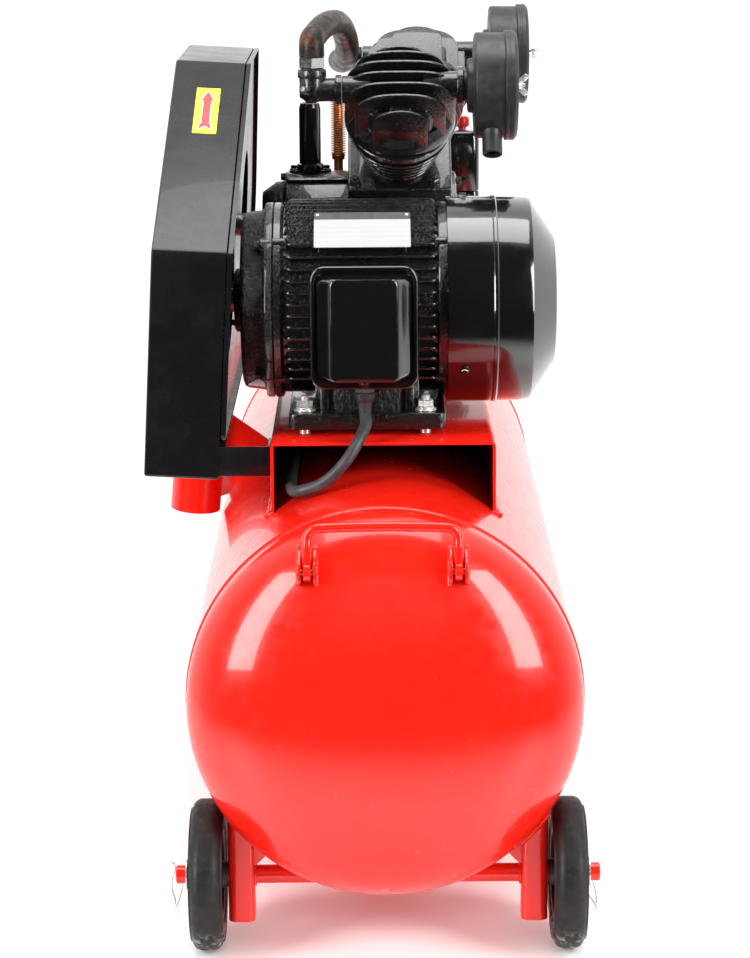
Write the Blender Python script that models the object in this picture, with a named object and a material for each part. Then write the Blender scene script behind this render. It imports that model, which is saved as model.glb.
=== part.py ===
"""Belt-driven air compressor: a 200 litre receiver on four wheels that carries
an electric motor, a belt guard and a V-twin piston pump.

Lengths are in metres, +Z is up and +Y runs from the motor end to the far end.
Helper arguments are measured from the receiver's axis (x), from its front weld
seam (y) and from the floor (z); here() turns them into the part's own frame,
whose origin is the bottom centre of the whole machine's box.
"""

import math

import bmesh
import bpy
from mathutils import Matrix, Vector

# ---------------------------------------------------------------- dimensions
GAP = 0.0003                 # clearance between pieces that touch

TANK_R = 0.2218              # outside radius of the receiver
TANK_Z = 0.2912              # height of its axis
TANK_LENGTH = 1.16           # between the two ring seams
SHELL_T = 0.0035
DISH_FLANGE = 0.020          # straight part of each dished end
DISH_DEPTH = 0.100
BEAD = 0.0015                # height of the weld beads
TANK_STEPS = 28              # facets round the receiver

BOX_CENTRE_X = -0.01919      # middle of the whole machine, from the tank axis
BOX_CENTRE_Y = 0.580         # and from the front seam

WHEEL_R = 0.0855
WHEEL_X = 0.2035
TYRE_W = 0.038
HUB_R = 0.052
WHEEL_STEPS = 20              # tyre and hub share their facets
AXLE_R = 0.0105
AXLE_HALF = 0.240
AXLE_SHIFT = 0.002           # the running gear sits a little to the right
AXLE_YS = {"front": 0.0, "rear": TANK_LENGTH}
LEG_X = 0.1655
LEG_W = 0.030
LEG_D = 0.040
LEG_T = 0.003
LEG_BOTTOM = 0.035

BRIDGE_HALF = 0.1293
BRIDGE_TOP = 0.5557
BRIDGE_T = 0.004
BRIDGE_Y = (0.1345, 0.760)

MOTOR_Y = 0.280
MOTOR_Z = 0.697
FRAME_X = (-0.1263, 0.0753)
FRAME_R = 0.1185             # over the fins
FRAME_CORE_R = 0.110
FIN_COUNT = 24
STATOR_R = 0.0625
SHIELD_X = -0.1653
COWL_X = (0.0757, 0.2025)
COWL_R = 0.1208
COWL_END_R = 0.076
SHAFT_R = 0.014
FOOT_Z = (0.5635, 0.583)
FOOT_X = (-0.1083, 0.0725)
FOOT_HALF_Y = 0.115
BOLT_XS = (-0.0903, 0.0497)  # 140 mm apart
BOLT_HALF_Y = 0.095

PUMP_Y = 0.580
PUMP_Z = 0.745
CRANK_THROW = 0.0225
CRANK_R = 0.0150
CRANK_BORE = 0.0157          # clears the shaft's corners as it turns
CASE_X = (-0.040, 0.088)
CYL_X = {"front": 0.0240, "rear": 0.0500}
DECK = 0.135                 # crank axis to the cylinder feet
BARREL_TOP = 0.208
HEAD_TOP = 0.299
BORE_R = 0.0325
PISTON_R = 0.0321
PISTON_CROWN = 0.180
PISTON_LENGTH = 0.040

DRIVE_X = -0.219             # middle of the belt plane
FLYWHEEL_R = 0.183
PULLEY_R = 0.0545
GROOVE = 0.009
BELT_T = 0.0068
BELT_LIFT = 0.0014           # clearance over the grooves' flat facets
BELT_W = 0.030

GUARD_LEAN = math.radians(3.2)
GUARD_BOTTOM = 0.5135
GUARD_X = -0.2325            # middle of the guard at its bottom edge
GUARD_HALF = 0.0425
GUARD_T = 0.0015
PLATE_BOTTOM = 0.560

FILTER_R = 0.0655
FILTER_SHIFT = 0.034         # the rear filter sits this much further right
SNOUT_TILT = math.radians(30)
SNOUT_TIP = 0.1000           # from the filter's axis
HOT_PIPE_R = 0.0155
SWITCH_X = 0.114
SWITCH_Y = 0.860
RISER_Y = 0.912


def here(x, y, z):
    """A point given from the tank axis, front seam and floor, in the part's frame."""
    return Vector((x - BOX_CENTRE_X, y - BOX_CENTRE_Y, z))


# ------------------------------------------------------------------- helpers
def clear_scene():
    for obj in list(bpy.data.objects):
        bpy.data.objects.remove(obj, do_unlink=True)


def material(name, colour, roughness, metallic=0.0):
    mat = bpy.data.materials.get(name) or bpy.data.materials.new(name)
    mat.use_nodes = True
    bsdf = mat.node_tree.nodes["Principled BSDF"]
    bsdf.inputs["Base Color"].default_value = (*colour, 1.0)
    bsdf.inputs["Roughness"].default_value = roughness
    bsdf.inputs["Metallic"].default_value = metallic
    return mat


def red_paint():
    return material("red_paint", (0.80, 0.02, 0.01), 0.18)


def black_paint():
    return material("black_paint", (0.010, 0.010, 0.011), 0.22)


def cast_black():
    return material("cast_black", (0.014, 0.014, 0.015), 0.30)


def sheet_black():
    return material("sheet_black", (0.012, 0.012, 0.014), 0.35)


def grey_plastic():
    return material("grey_plastic", (0.045, 0.047, 0.050), 0.55)


def zinc():
    return material("zinc", (0.70, 0.70, 0.68), 0.30, 1.0)


def steel():
    return material("steel", (0.42, 0.42, 0.43), 0.35, 1.0)


def brass():
    return material("brass", (0.72, 0.52, 0.20), 0.30, 1.0)


def copper():
    return material("copper", (0.62, 0.25, 0.08), 0.30, 1.0)


def rubber():
    return material("rubber", (0.018, 0.018, 0.020), 0.75)


def red_plastic():
    return material("red_plastic", (0.65, 0.015, 0.02), 0.40)


def finish(name, bm, mat, location=(0, 0, 0), sharp=35.0):
    """Turn a bmesh into a named object with outward faces and smooth round sides."""
    bmesh.ops.remove_doubles(bm, verts=bm.verts, dist=1e-6)
    bmesh.ops.recalc_face_normals(bm, faces=bm.faces)
    mesh = bpy.data.meshes.new(name)
    bm.to_mesh(mesh)
    bm.free()
    mesh.shade_smooth()
    mesh.set_sharp_from_angle(angle=math.radians(sharp))
    mesh.materials.append(mat)
    obj = bpy.data.objects.new(name, mesh)
    bpy.context.scene.collection.objects.link(obj)
    obj.location = location
    return obj


def turned(profile, axis="Z", steps=32, closed=False):
    """Revolve (radius, distance along the axis) points; closed joins last to first."""
    bm = bmesh.new()
    verts = [bm.verts.new((r, 0.0, t)) for r, t in profile]
    edges = [bm.edges.new(pair) for pair in zip(verts, verts[1:])]
    if closed:
        edges.append(bm.edges.new((verts[-1], verts[0])))
    bmesh.ops.spin(bm, geom=verts + edges, cent=(0, 0, 0), axis=(0, 0, 1),
                   angle=2 * math.pi, steps=steps, use_merge=True)
    bmesh.ops.remove_doubles(bm, verts=bm.verts, dist=1e-6)
    turns = {"X": Matrix.Rotation(math.pi / 2, 4, "Y"),
             "Y": Matrix.Rotation(-math.pi / 2, 4, "X"),
             "Z": Matrix.Identity(4)}
    bmesh.ops.transform(bm, matrix=turns[axis], verts=bm.verts)
    return bm


def rod(radius, start, end, axis="Z", steps=24):
    return turned([(0, start), (radius, start), (radius, end), (0, end)], axis, steps)


def prism(outline, start, end, axis="X"):
    """Extrude an outline; (y, z) along X, (x, z) along Y or (x, y) along Z."""
    bm = bmesh.new()
    order = {"X": lambda a, b: (start, a, b),
             "Y": lambda a, b: (a, start, b),
             "Z": lambda a, b: (a, b, start)}[axis]
    face = bm.faces.new([bm.verts.new(order(a, b)) for a, b in outline])
    out = bmesh.ops.extrude_face_region(bm, geom=[face])
    step = {"X": (end - start, 0, 0), "Y": (0, end - start, 0), "Z": (0, 0, end - start)}
    moved = [g for g in out["geom"] if isinstance(g, bmesh.types.BMVert)]
    bmesh.ops.translate(bm, verts=moved, vec=step[axis])
    return bm


def slab(low, high):
    bm = bmesh.new()
    bmesh.ops.create_cube(bm, size=1.0)
    size = Vector(high) - Vector(low)
    middle = (Vector(high) + Vector(low)) / 2
    bmesh.ops.scale(bm, vec=size, verts=bm.verts)
    bmesh.ops.translate(bm, vec=middle, verts=bm.verts)
    return bm


def rounded(half_a, half_b, radius, steps=4, centre=(0.0, 0.0)):
    """Outline of a rounded rectangle, counter-clockwise."""
    points = []
    for quarter, (sa, sb) in enumerate(((1, 1), (-1, 1), (-1, -1), (1, -1))):
        for k in range(steps + 1):
            angle = math.pi / 2 * (quarter + k / steps)
            points.append((centre[0] + sa * (half_a - radius) + radius * math.cos(angle),
                           centre[1] + sb * (half_b - radius) + radius * math.sin(angle)))
    return points


def cutter(name, bm, location=(0, 0, 0)):
    obj = finish(name, bm, steel(), location)
    obj.hide_render = True
    obj.display_type = "WIRE"
    return obj


def apply_tool(obj, tool, operation="DIFFERENCE"):
    mod = obj.modifiers.new(tool.name, "BOOLEAN")
    mod.operation = operation
    mod.solver = "EXACT"
    mod.object = tool
    return obj


def smooth_route(points, spacing):
    """Evenly spaced points on a Catmull-Rom curve through a route's own points."""
    pts = [Vector(p) for p in points]
    pts = [2 * pts[0] - pts[1]] + pts + [2 * pts[-1] - pts[-2]]
    dense = []
    for i in range(1, len(pts) - 2):
        p0, p1, p2, p3 = pts[i - 1:i + 3]
        for k in range(24):
            t = k / 24
            dense.append(0.5 * (2 * p1 + (p2 - p0) * t + (2 * p0 - 5 * p1 + 4 * p2 - p3) * t * t
                                + (3 * p1 - p0 - 3 * p2 + p3) * t ** 3))
    dense.append(pts[-2])
    lengths = [0.0]
    for a, b in zip(dense, dense[1:]):
        lengths.append(lengths[-1] + (b - a).length)
    count = max(2, round(lengths[-1] / spacing))
    route = []
    j = 0
    for i in range(count + 1):
        want = lengths[-1] * i / count
        while j < len(dense) - 2 and lengths[j + 1] < want:
            j += 1
        span = lengths[j + 1] - lengths[j]
        t = (want - lengths[j]) / span if span else 0.0
        route.append(dense[j].lerp(dense[j + 1], min(1.0, t)))
    return route


def pipe(name, points, radius, mat, spacing=None, resolution=3, cyclic=False):
    """A round tube along a smooth route, as a curve with a bevel and filled caps."""
    route = smooth_route(points, spacing or radius * 4)
    curve = bpy.data.curves.new(name, "CURVE")
    curve.dimensions = "3D"
    curve.bevel_depth = radius
    curve.bevel_resolution = resolution
    curve.use_fill_caps = True
    spline = curve.splines.new("POLY")
    spline.points.add(len(route) - 1)
    for point, place in zip(spline.points, route):
        point.co = (*place, 1.0)
    spline.use_smooth = True
    curve.materials.append(mat)
    obj = bpy.data.objects.new(name, curve)
    bpy.context.scene.collection.objects.link(obj)
    return obj


def solid_pipe(name, points, radius, mat, **options):
    """A pipe as a mesh, for tubes that have fittings joined to them."""
    curve = pipe(name + "_route", points, radius, mat, **options)
    mesh = bpy.data.meshes.new_from_object(curve)
    bpy.data.objects.remove(curve)
    bm = bmesh.new()
    bm.from_mesh(mesh)
    return finish(name, bm, mat)


# ------------------------------------------------------------ receiver, legs
def dish_profile(radius, depth, count=6):
    """Quarter ellipse from the rim to the pole, as (radius, distance out)."""
    quarter = [math.pi / 2 * k / (count - 1) for k in range(count)]
    return [(radius * math.cos(a), DISH_FLANGE + depth * math.sin(a)) for a in quarter]


def tank_shell():
    """Hollow receiver with weld beads, open at the drain socket underneath."""
    outer = [(r, -t) for r, t in reversed(dish_profile(TANK_R, DISH_DEPTH))]
    for seam in (0.0, TANK_LENGTH):
        outer += [(TANK_R, seam - 0.005), (TANK_R + BEAD, seam - 0.002),
                  (TANK_R + BEAD, seam + 0.002), (TANK_R, seam + 0.005)]
    outer += [(r, TANK_LENGTH + t) for r, t in dish_profile(TANK_R, DISH_DEPTH)]
    shell = finish("tank_shell", turned(outer, "Y", TANK_STEPS), red_paint(),
                   here(0, 0, TANK_Z), sharp=50)
    inner_dish = dish_profile(TANK_R - SHELL_T, DISH_DEPTH - SHELL_T)
    inner = [(r, -t) for r, t in reversed(inner_dish)]
    inner += [(r, TANK_LENGTH + t) for r, t in inner_dish]
    hollow = turned(inner, "Y", TANK_STEPS)
    apply_tool(shell, cutter("tank_hollow_cut", hollow, here(0, 0, TANK_Z)))
    hole = cutter("tank_drain_cut", rod(0.008, -0.02, 0.02, steps=12),
                  here(0, PUMP_Y, TANK_Z - TANK_R))
    return apply_tool(shell, hole)


def tank_clearance(name):
    """The receiver's outside with room for its beads, for pieces that sit on it."""
    grown = TANK_R + BEAD + GAP
    return cutter(name, rod(grown, -0.030, TANK_LENGTH + 0.030, "Y", TANK_STEPS),
                  here(0, 0, TANK_Z))


def leg(end, side):
    """Rounded tube welded under the receiver, with its flare and its stub axle."""
    sign = -1 if side == "left" else 1
    x = sign * LEG_X + AXLE_SHIFT
    y = AXLE_YS[end]
    name = f"leg_{end}_{side}"
    body = prism(rounded(LEG_W / 2, LEG_D / 2, 0.009, 3), LEG_BOTTOM, 0.170, "Z")
    obj = finish(name, body, red_paint(), here(x, y, 0))
    inner = prism(rounded(LEG_W / 2 - LEG_T, LEG_D / 2 - LEG_T, 0.006, 3), 0.03, 0.18, "Z")
    apply_tool(obj, cutter(f"{name}_inside_cut", inner, here(x, y, 0)))
    flare = [(0.013, 0.098), (0.030, 0.112), (0.030, 0.150), (0.013, 0.150)]
    flare = [(-sign * a, b) for a, b in flare]
    gusset = cutter(f"{name}_flare", prism(flare, -0.012, 0.012, "Y"), here(x, y, 0))
    apply_tool(obj, gusset, "UNION")
    stub = rod(AXLE_R, *sorted((sign * 0.070, sign * AXLE_HALF)), "X", 14)
    stub_tool = cutter(f"{name}_stub_axle", stub, here(AXLE_SHIFT, y, WHEEL_R))
    apply_tool(obj, stub_tool, "UNION")
    apply_tool(obj, tank_clearance(f"{name}_tank_cut"))
    hole = rod(0.0021, -0.02, 0.02, "Z", 8)
    place = here(AXLE_SHIFT + sign * 0.2300, y, WHEEL_R)
    return apply_tool(obj, cutter(f"{name}_pin_cut", hole, place))


def wheel(end, side):
    """Solid tyre on a dished hub whose boss reaches from the leg to the split pin."""
    sign = -1 if side == "left" else 1
    place = here(sign * WHEEL_X + AXLE_SHIFT, AXLE_YS[end], WHEEL_R)
    half = TYRE_W / 2
    tread = [(HUB_R + GAP, -half + 0.003), (0.076, -half), (WHEEL_R, -half + 0.009),
             (WHEEL_R, half - 0.009), (0.076, half), (HUB_R + GAP, half - 0.003)]
    finish(f"tyre_{end}_{side}", turned(tread, "X", WHEEL_STEPS, closed=True), rubber(), place)
    bore = AXLE_R + GAP
    inner_end = -sign * (WHEEL_X - LEG_X - LEG_W / 2 - 0.0006)
    outer_end = sign * 0.0240
    low, high = sorted((inner_end, outer_end))
    hub = [(bore, low), (0.0145, low), (0.0145, -0.008), (HUB_R - 0.004, -0.016),
           (HUB_R, -0.016), (HUB_R, 0.016), (HUB_R - 0.004, 0.016), (0.0145, 0.008),
           (0.0145, high), (bore, high)]
    finish(f"wheel_hub_{end}_{side}", turned(hub, "X", WHEEL_STEPS, closed=True), grey_plastic(), place)


# --------------------------------------------------------------------- handle
HANDLE_PIVOT = (-0.002, -0.0870, 0.4620)
HANDLE_HALF = 0.0815
HANDLE_RISE = 0.0475
HANDLE_BAR_R = 0.0055


def handle():
    """Folding carrying bail: a bent bar whose ends turn on the two lug pins."""
    x, y, z = HANDLE_PIVOT
    side = HANDLE_HALF
    top = HANDLE_RISE
    corner = 0.010
    half = [(side, 0.0, 0.009), (side, 0.001, top * 0.5), (side, 0.003, top - corner),
            (side - 0.003, 0.004, top - 0.003), (side - corner, 0.004, top)]
    route = [Vector((-a, b, c)) for a, b, c in half]
    route += [Vector((0, 0.004, top + 0.002))]
    route += [Vector(p) for p in reversed(half)]
    bar = solid_pipe("handle", route, HANDLE_BAR_R, red_paint(), spacing=0.016, resolution=2)
    bar.location = here(x, y, z)
    for sign in (-1, 1):
        eye = [(0.0043, -0.0042), (0.0105, -0.0042), (0.0105, 0.0042), (0.0043, 0.0042)]
        ring = cutter(f"handle_eye_{sign}", turned(eye, "X", 12, closed=True),
                      here(x + sign * side, y, z))
        apply_tool(bar, ring, "UNION")
    return bar


def handle_lug(side):
    """Two ears on the dished end with the hinge pin between them."""
    sign = -1 if side == "left" else 1
    x = HANDLE_PIVOT[0] + sign * HANDLE_HALF
    y, z = HANDLE_PIVOT[1:]
    ear = [(0.050, 0.022), (0.012, 0.022), (-0.004, 0.011), (-0.0095, 0.003),
           (-0.0095, -0.005), (-0.003, -0.011), (0.012, -0.018), (0.050, -0.018)]
    obj = finish(f"handle_lug_{side}", prism(ear, -0.0098, 0.0098, "X"), red_paint(),
                 here(x, y, z))
    slot = slab((-0.0064, -0.030, -0.030), (0.0064, 0.0125, 0.030))
    apply_tool(obj, cutter(f"handle_lug_{side}_slot", slot, here(x, y, z)))
    pin = cutter(f"handle_lug_{side}_pin", rod(0.0038, -0.0120, 0.0120, "X", 12), here(x, y, z))
    apply_tool(obj, pin, "UNION")
    grown = [(r, -t) for r, t in reversed(dish_profile(TANK_R + GAP, DISH_DEPTH + GAP, 16))]
    grown += [(TANK_R + GAP, 0.1), (0, 0.1)]
    dish = cutter(f"handle_lug_{side}_dish_cut", turned(grown, "Y", 64), here(0, 0, TANK_Z))
    return apply_tool(obj, dish)


# --------------------------------------------------------------------- bridge
def motor_bridge():
    """Folded sheet channel welded along the top of the receiver."""
    half = BRIDGE_HALF
    inside = half - BRIDGE_T
    roof = BRIDGE_TOP
    under = BRIDGE_TOP - BRIDGE_T
    bend = 0.004
    outline = [(-half, 0.440), (-half, roof - bend), (-half + bend, roof),
               (half - bend, roof), (half, roof - bend), (half, 0.440),
               (inside, 0.440), (inside, under), (-inside, under), (-inside, 0.440)]
    obj = finish("motor_bridge", prism(outline, *BRIDGE_Y, "Y"), red_paint(), here(0, 0, 0))
    return apply_tool(obj, tank_clearance("motor_bridge_tank_cut"))


# ---------------------------------------------------------------------- guard
GUARD_OUTLINE = [(0.140, 0.0), (0.815, 0.0), (0.838, 0.040), (0.838, 0.250),
                 (0.722, 0.449), (0.470, 0.449), (0.140, 0.262)]


def inset(outline, distance):
    """Move each edge of a convex counter-clockwise outline inwards."""
    count = len(outline)
    result = []
    for i in range(count):
        a, b, c = (Vector(outline[(i + k) % count]) for k in (-1, 0, 1))
        d1 = (b - a).normalized()
        d2 = (c - b).normalized()
        n1 = Vector((-d1.y, d1.x))
        n2 = Vector((-d2.y, d2.x))
        bisector = (n1 + n2).normalized()
        result.append(tuple(b + bisector * distance / max(0.2, bisector.dot(n1))))
    return result


def lean(obj):
    """Tilt a guard piece towards the pump about the guard's bottom edge."""
    obj.rotation_euler = (0, GUARD_LEAN, 0)
    return obj


def guard_cover():
    """Pressed belt guard: outer face and rim in one sheet, open to the pump side."""
    place = here(GUARD_X, 0, GUARD_BOTTOM)
    obj = finish("guard_cover", prism(GUARD_OUTLINE, -GUARD_HALF, GUARD_HALF, "X"),
                 sheet_black(), place)
    room = prism(inset(GUARD_OUTLINE, GUARD_T), -GUARD_HALF + GUARD_T, GUARD_HALF + 0.01, "X")
    tool = lean(cutter("guard_cover_inside_cut", room, place))
    apply_tool(lean(obj), tool)
    return apply_tool(obj, guard_strap(), "UNION")


def guard_plate():
    """Inner sheet with a return lip, a strap to the bridge and two shaft openings."""
    place = here(GUARD_X, 0, GUARD_BOTTOM)
    low = PLATE_BOTTOM - GUARD_BOTTOM
    face = GUARD_HALF + GAP
    outline = [(y, max(z, low)) for y, z in GUARD_OUTLINE if z != 0.040]
    obj = finish("guard_plate", prism(outline, face, face + 0.007, "X"), sheet_black(), place)
    hollow = prism(inset(outline, GUARD_T), face + GUARD_T, face + 0.02, "X")
    apply_tool(obj, lean(cutter("guard_plate_lip_cut", hollow, place)))
    for label, y, z, radius in (("motor", MOTOR_Y, MOTOR_Z, 0.062),
                                ("pump", PUMP_Y, PUMP_Z, 0.095)):
        hole = rod(radius, -0.05, 0.12, "X", 20)
        apply_tool(obj, cutter(f"guard_plate_{label}_cut", hole, here(GUARD_X, y, z)))
    return lean(obj)


def guard_strap():
    """Flat bar from the guard's front rim to the side of the bridge."""
    left = GUARD_X + GUARD_HALF - 0.010
    right = -BRIDGE_HALF - GAP
    outline = [(left, 0.1404), (right, 0.1404), (right, 0.1900), (right - 0.003, 0.1900),
               (right - 0.003, 0.1434), (left, 0.1434)]
    return cutter("guard_strap", prism(outline, 0.5155, 0.5500, "Z"), here(0, 0, 0))


def guard_post():
    """Leaning tube on the receiver's shoulder that carries the guard, with its plate."""
    y = 0.620
    foot = here(-0.2475, y, 0.362)
    obj = finish("guard_post", rod(0.0330, 0.0, 0.149, "Z", 18), red_paint(), foot)
    obj.rotation_euler = (0, math.radians(5.0), 0)
    outline = [(-0.232, 0.372), (-0.150, 0.372), (-0.150, 0.455), (-0.205, 0.495),
               (-0.226, 0.495)]
    plate = cutter("guard_post_plate", prism(outline, -0.003, 0.003, "Y"), here(0, y, 0))
    apply_tool(obj, plate, "UNION")
    bore = cutter("guard_post_bore", rod(0.0295, -0.01, 0.020, "Z", 18), foot)
    bore.rotation_euler = obj.rotation_euler
    apply_tool(obj, bore)
    return apply_tool(obj, tank_clearance("guard_post_tank_cut"))


# ---------------------------------------------------------------------- motor
def motor_frame():
    """Finned stator housing with its feet, hollow for the rotor."""
    place = here(0, MOTOR_Y, MOTOR_Z)
    outline = []
    for i in range(FIN_COUNT):
        for share, radius in ((0.0, FRAME_R), (0.28, FRAME_R), (0.40, FRAME_CORE_R),
                              (0.88, FRAME_CORE_R)):
            angle = 2 * math.pi * (i + share) / FIN_COUNT
            outline.append((radius * math.cos(angle), radius * math.sin(angle)))
    obj = finish("motor_frame", prism(outline, FRAME_X[0] + 0.006, FRAME_X[1] - 0.006, "X"),
                 cast_black(), place, sharp=25)
    for label, low, high in (("drive", FRAME_X[0], FRAME_X[0] + 0.008),
                             ("fan", FRAME_X[1] - 0.008, FRAME_X[1])):
        ring = cutter(f"motor_ring_{label}", rod(0.1145, low, high, "X", 28), place)
        apply_tool(obj, ring, "UNION")
    foot = slab((FOOT_X[0], -FOOT_HALF_Y, FOOT_Z[0]), (FOOT_X[1], FOOT_HALF_Y, FOOT_Z[1]))
    apply_tool(obj, cutter("motor_foot", foot, here(0, MOTOR_Y, 0)), "UNION")
    for sign in (-1, 1):
        web = [(sign * 0.040, 0.575), (sign * 0.088, 0.575), (sign * 0.088, 0.640),
               (sign * 0.060, 0.640)]
        tool = prism(web if sign > 0 else web[::-1], FOOT_X[0] + 0.040, FOOT_X[1] - 0.040, "X")
        apply_tool(obj, cutter(f"motor_web_{sign}", tool, here(0, MOTOR_Y, 0)), "UNION")
    bore = rod(STATOR_R, FRAME_X[0] - 0.01, FRAME_X[1] + 0.01, "X", 20)
    apply_tool(obj, cutter("motor_stator_cut", bore, place))
    for i, (x, y) in enumerate(bolt_places()):
        hole = rod(0.0065, 0.55, 0.60, "Z", 12)
        apply_tool(obj, cutter(f"motor_foot_hole_{i}", hole, here(x, y, 0)))
    return obj


def bolt_places():
    return [(x, MOTOR_Y + sign * BOLT_HALF_Y) for sign in (-1, 1) for x in BOLT_XS]


def motor_bolts():
    """Spacer, stud, washer and nut at each foot, turned as one fastener."""
    names = ("front_left", "front_right", "rear_left", "rear_right")
    for name, (x, y) in zip(names, bolt_places()):
        low, high = FOOT_Z
        profile = [(0, BRIDGE_TOP + GAP), (0.0060, BRIDGE_TOP + GAP), (0.0060, low - GAP),
                   (0.0055, low - GAP), (0.0055, high + GAP), (0.0125, high + GAP),
                   (0.0125, high + 0.003), (0.0092, high + 0.003), (0.0092, high + 0.011),
                   (0.0050, high + 0.011), (0.0050, high + 0.018), (0, high + 0.018)]
        finish(f"motor_bolt_{name}", turned(profile, "Z", 8), zinc(), here(x, y, 0))


def motor_endshield():
    """Drive-end casting with its bearing boss."""
    back = FRAME_X[0] - GAP
    front = SHIELD_X
    profile = [(SHAFT_R + GAP, front - 0.008), (0.036, front - 0.008), (0.038, front + 0.001),
               (0.099, front + 0.001), (0.1035, front + 0.005), (0.107, back - 0.010),
               (0.1145, back - 0.008), (0.1145, back), (0.058, back), (0.052, back - 0.020),
               (SHAFT_R + GAP, back - 0.022)]
    return finish("motor_endshield", turned(profile, "X", 20, closed=True), cast_black(),
                  here(0, MOTOR_Y, MOTOR_Z))


def fan_cowl():
    """Sheet cowl over the fan, tapered at its end and open to the frame."""
    start, end = COWL_X
    t = 0.0016
    taper = end - 0.032
    profile = [(COWL_R, start), (COWL_R, taper), (COWL_R - 0.006, taper + 0.006),
               (COWL_END_R, end), (0.012, end), (0.012, end - t), (COWL_END_R - t, end - t),
               (COWL_R - 0.006 - t, taper + 0.005), (COWL_R - t, taper - 0.001),
               (COWL_R - t, start)]
    return finish("fan_cowl", turned(profile, "X", 24, closed=True), black_paint(),
                  here(0, MOTOR_Y, MOTOR_Z))


def terminal_box():
    """Open box saddled onto the frame, with a raised rim for its lid."""
    x, z = -0.0208, 0.6885
    place = here(x, 0, z)
    obj = finish("terminal_box", prism(rounded(0.0560, 0.0650, 0.014, 4), 0.132, 0.195, "Y"),
                 black_paint(), place)
    rim = cutter("terminal_rim", prism(rounded(0.0610, 0.0705, 0.016, 4), 0.1295, 0.137, "Y"),
                 place)
    apply_tool(obj, rim, "UNION")
    room = prism(rounded(0.0525, 0.0615, 0.011, 4), 0.12, 0.200, "Y")
    apply_tool(obj, cutter("terminal_room_cut", room, place))
    saddle = rod(FRAME_R + GAP, -0.1, 0.1, "X", 64)
    return apply_tool(obj, cutter("terminal_saddle_cut", saddle, here(x, MOTOR_Y, MOTOR_Z)))


def terminal_lid():
    """Domed lid of the terminal box with a raised middle panel."""
    x, z = -0.0208, 0.6885
    bm = bmesh.new()
    rings = []
    for depth, grow in ((0.1292, 0.0), (0.1240, 0.0), (0.1140, -0.005), (0.1100, -0.016)):
        outline = rounded(0.0525 + grow, 0.0600 + grow, max(0.006, 0.016 + grow / 2), 4)
        rings.append([bm.verts.new((a, depth, b)) for a, b in outline])
    for low, high in zip(rings, rings[1:]):
        for i in range(len(low)):
            j = (i + 1) % len(low)
            bm.faces.new((low[i], low[j], high[j], high[i]))
    bm.faces.new(rings[0][::-1])
    bm.faces.new(rings[-1])
    obj = finish("terminal_lid", bm, black_paint(), here(x, 0, z), sharp=40)
    panel = prism(rounded(0.0378, 0.0585, 0.008, 3), 0.1075, 0.126, "Y")
    return apply_tool(obj, cutter("terminal_panel", panel, here(x, 0, z)), "UNION")


GLAND = (-0.0205, 0.151, 0.6180)


def cable_gland():
    """Compression gland on the underside of the terminal box."""
    x, y, z = GLAND
    profile = [(0, 0), (0.0105, 0), (0.0105, -0.006), (0.0120, -0.0065), (0.0120, -0.014),
               (0.0095, -0.018), (0, -0.018)]
    return finish("cable_gland", turned(profile, "Z", 12), grey_plastic(),
                  here(x, y, z - GAP))


CABLE_R = 0.0068


def motor_cable():
    """Supply lead from the terminal box, under the bridge and up to the switch."""
    x, y, z = GLAND
    route = [(x, y, z - 0.0215), (x, y, z - 0.0330), (-0.0196, 0.1370, 0.5720),
             (-0.0286, 0.1180, 0.5560), (-0.0440, 0.1060, 0.5380), (-0.0664, 0.1060, 0.5190),
             (-0.0860, 0.1220, 0.5080), (-0.0985, 0.1600, 0.5020), (-0.1040, 0.2300, 0.4990),
             (-0.1060, 0.3300, 0.4965), (-0.1060, 0.5000, 0.4965), (-0.1040, 0.6800, 0.4975),
             (-0.0800, 0.7750, 0.5120), (-0.0100, 0.8150, 0.5250), (0.0650, 0.8320, 0.5300),
             (0.1050, 0.8480, 0.5550), (0.1130, 0.8580, 0.6100), (SWITCH_X, SWITCH_Y, 0.6800),
             (SWITCH_X, SWITCH_Y, 0.7405)]
    return pipe("motor_cable", [here(*p) for p in route], CABLE_R, rubber(), spacing=0.020,
                resolution=2)


def motor_rotor():
    """Shaft with the rotor core on it."""
    profile = [(0, -0.2385), (SHAFT_R, -0.2385), (SHAFT_R, -0.110), (0.0600, -0.110),
               (0.0600, 0.055), (0.0130, 0.055), (0.0130, 0.150), (0, 0.150)]
    return finish("motor_rotor", turned(profile, "X", 16), steel(),
                  here(0, MOTOR_Y, MOTOR_Z))


def motor_fan():
    """Six-bladed cooling fan on the rear of the shaft."""
    place = here(0, MOTOR_Y, MOTOR_Z)
    profile = [(0.0137, 0.100), (0.0250, 0.100), (0.0250, 0.118), (0.0950, 0.118),
               (0.0950, 0.121), (0.0137, 0.121)]
    obj = finish("motor_fan", turned(profile, "X", 16, closed=True), grey_plastic(), place)
    for i in range(6):
        blade = slab((0.104, 0.022, -0.0012), (0.1195, 0.098, 0.0012))
        tool = cutter(f"motor_fan_blade_{i}", blade, place)
        tool.rotation_euler = (2 * math.pi * i / 6, 0, 0)
        apply_tool(obj, tool, "UNION")
    return obj


def motor_pulley():
    """Small grooved pulley on the motor shaft."""
    half = 0.0205
    groove = BELT_W / 2 + 0.001
    floor = PULLEY_R - GROOVE
    profile = [(SHAFT_R + GAP, -half), (PULLEY_R, -half), (PULLEY_R, -groove),
               (floor, -groove), (floor, groove), (PULLEY_R, groove), (PULLEY_R, half),
               (0.030, half), (0.028, half - 0.006), (SHAFT_R + GAP, half - 0.006)]
    return finish("motor_pulley", turned(profile, "X", 18, closed=True), cast_black(),
                  here(DRIVE_X, MOTOR_Y, MOTOR_Z))


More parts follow.
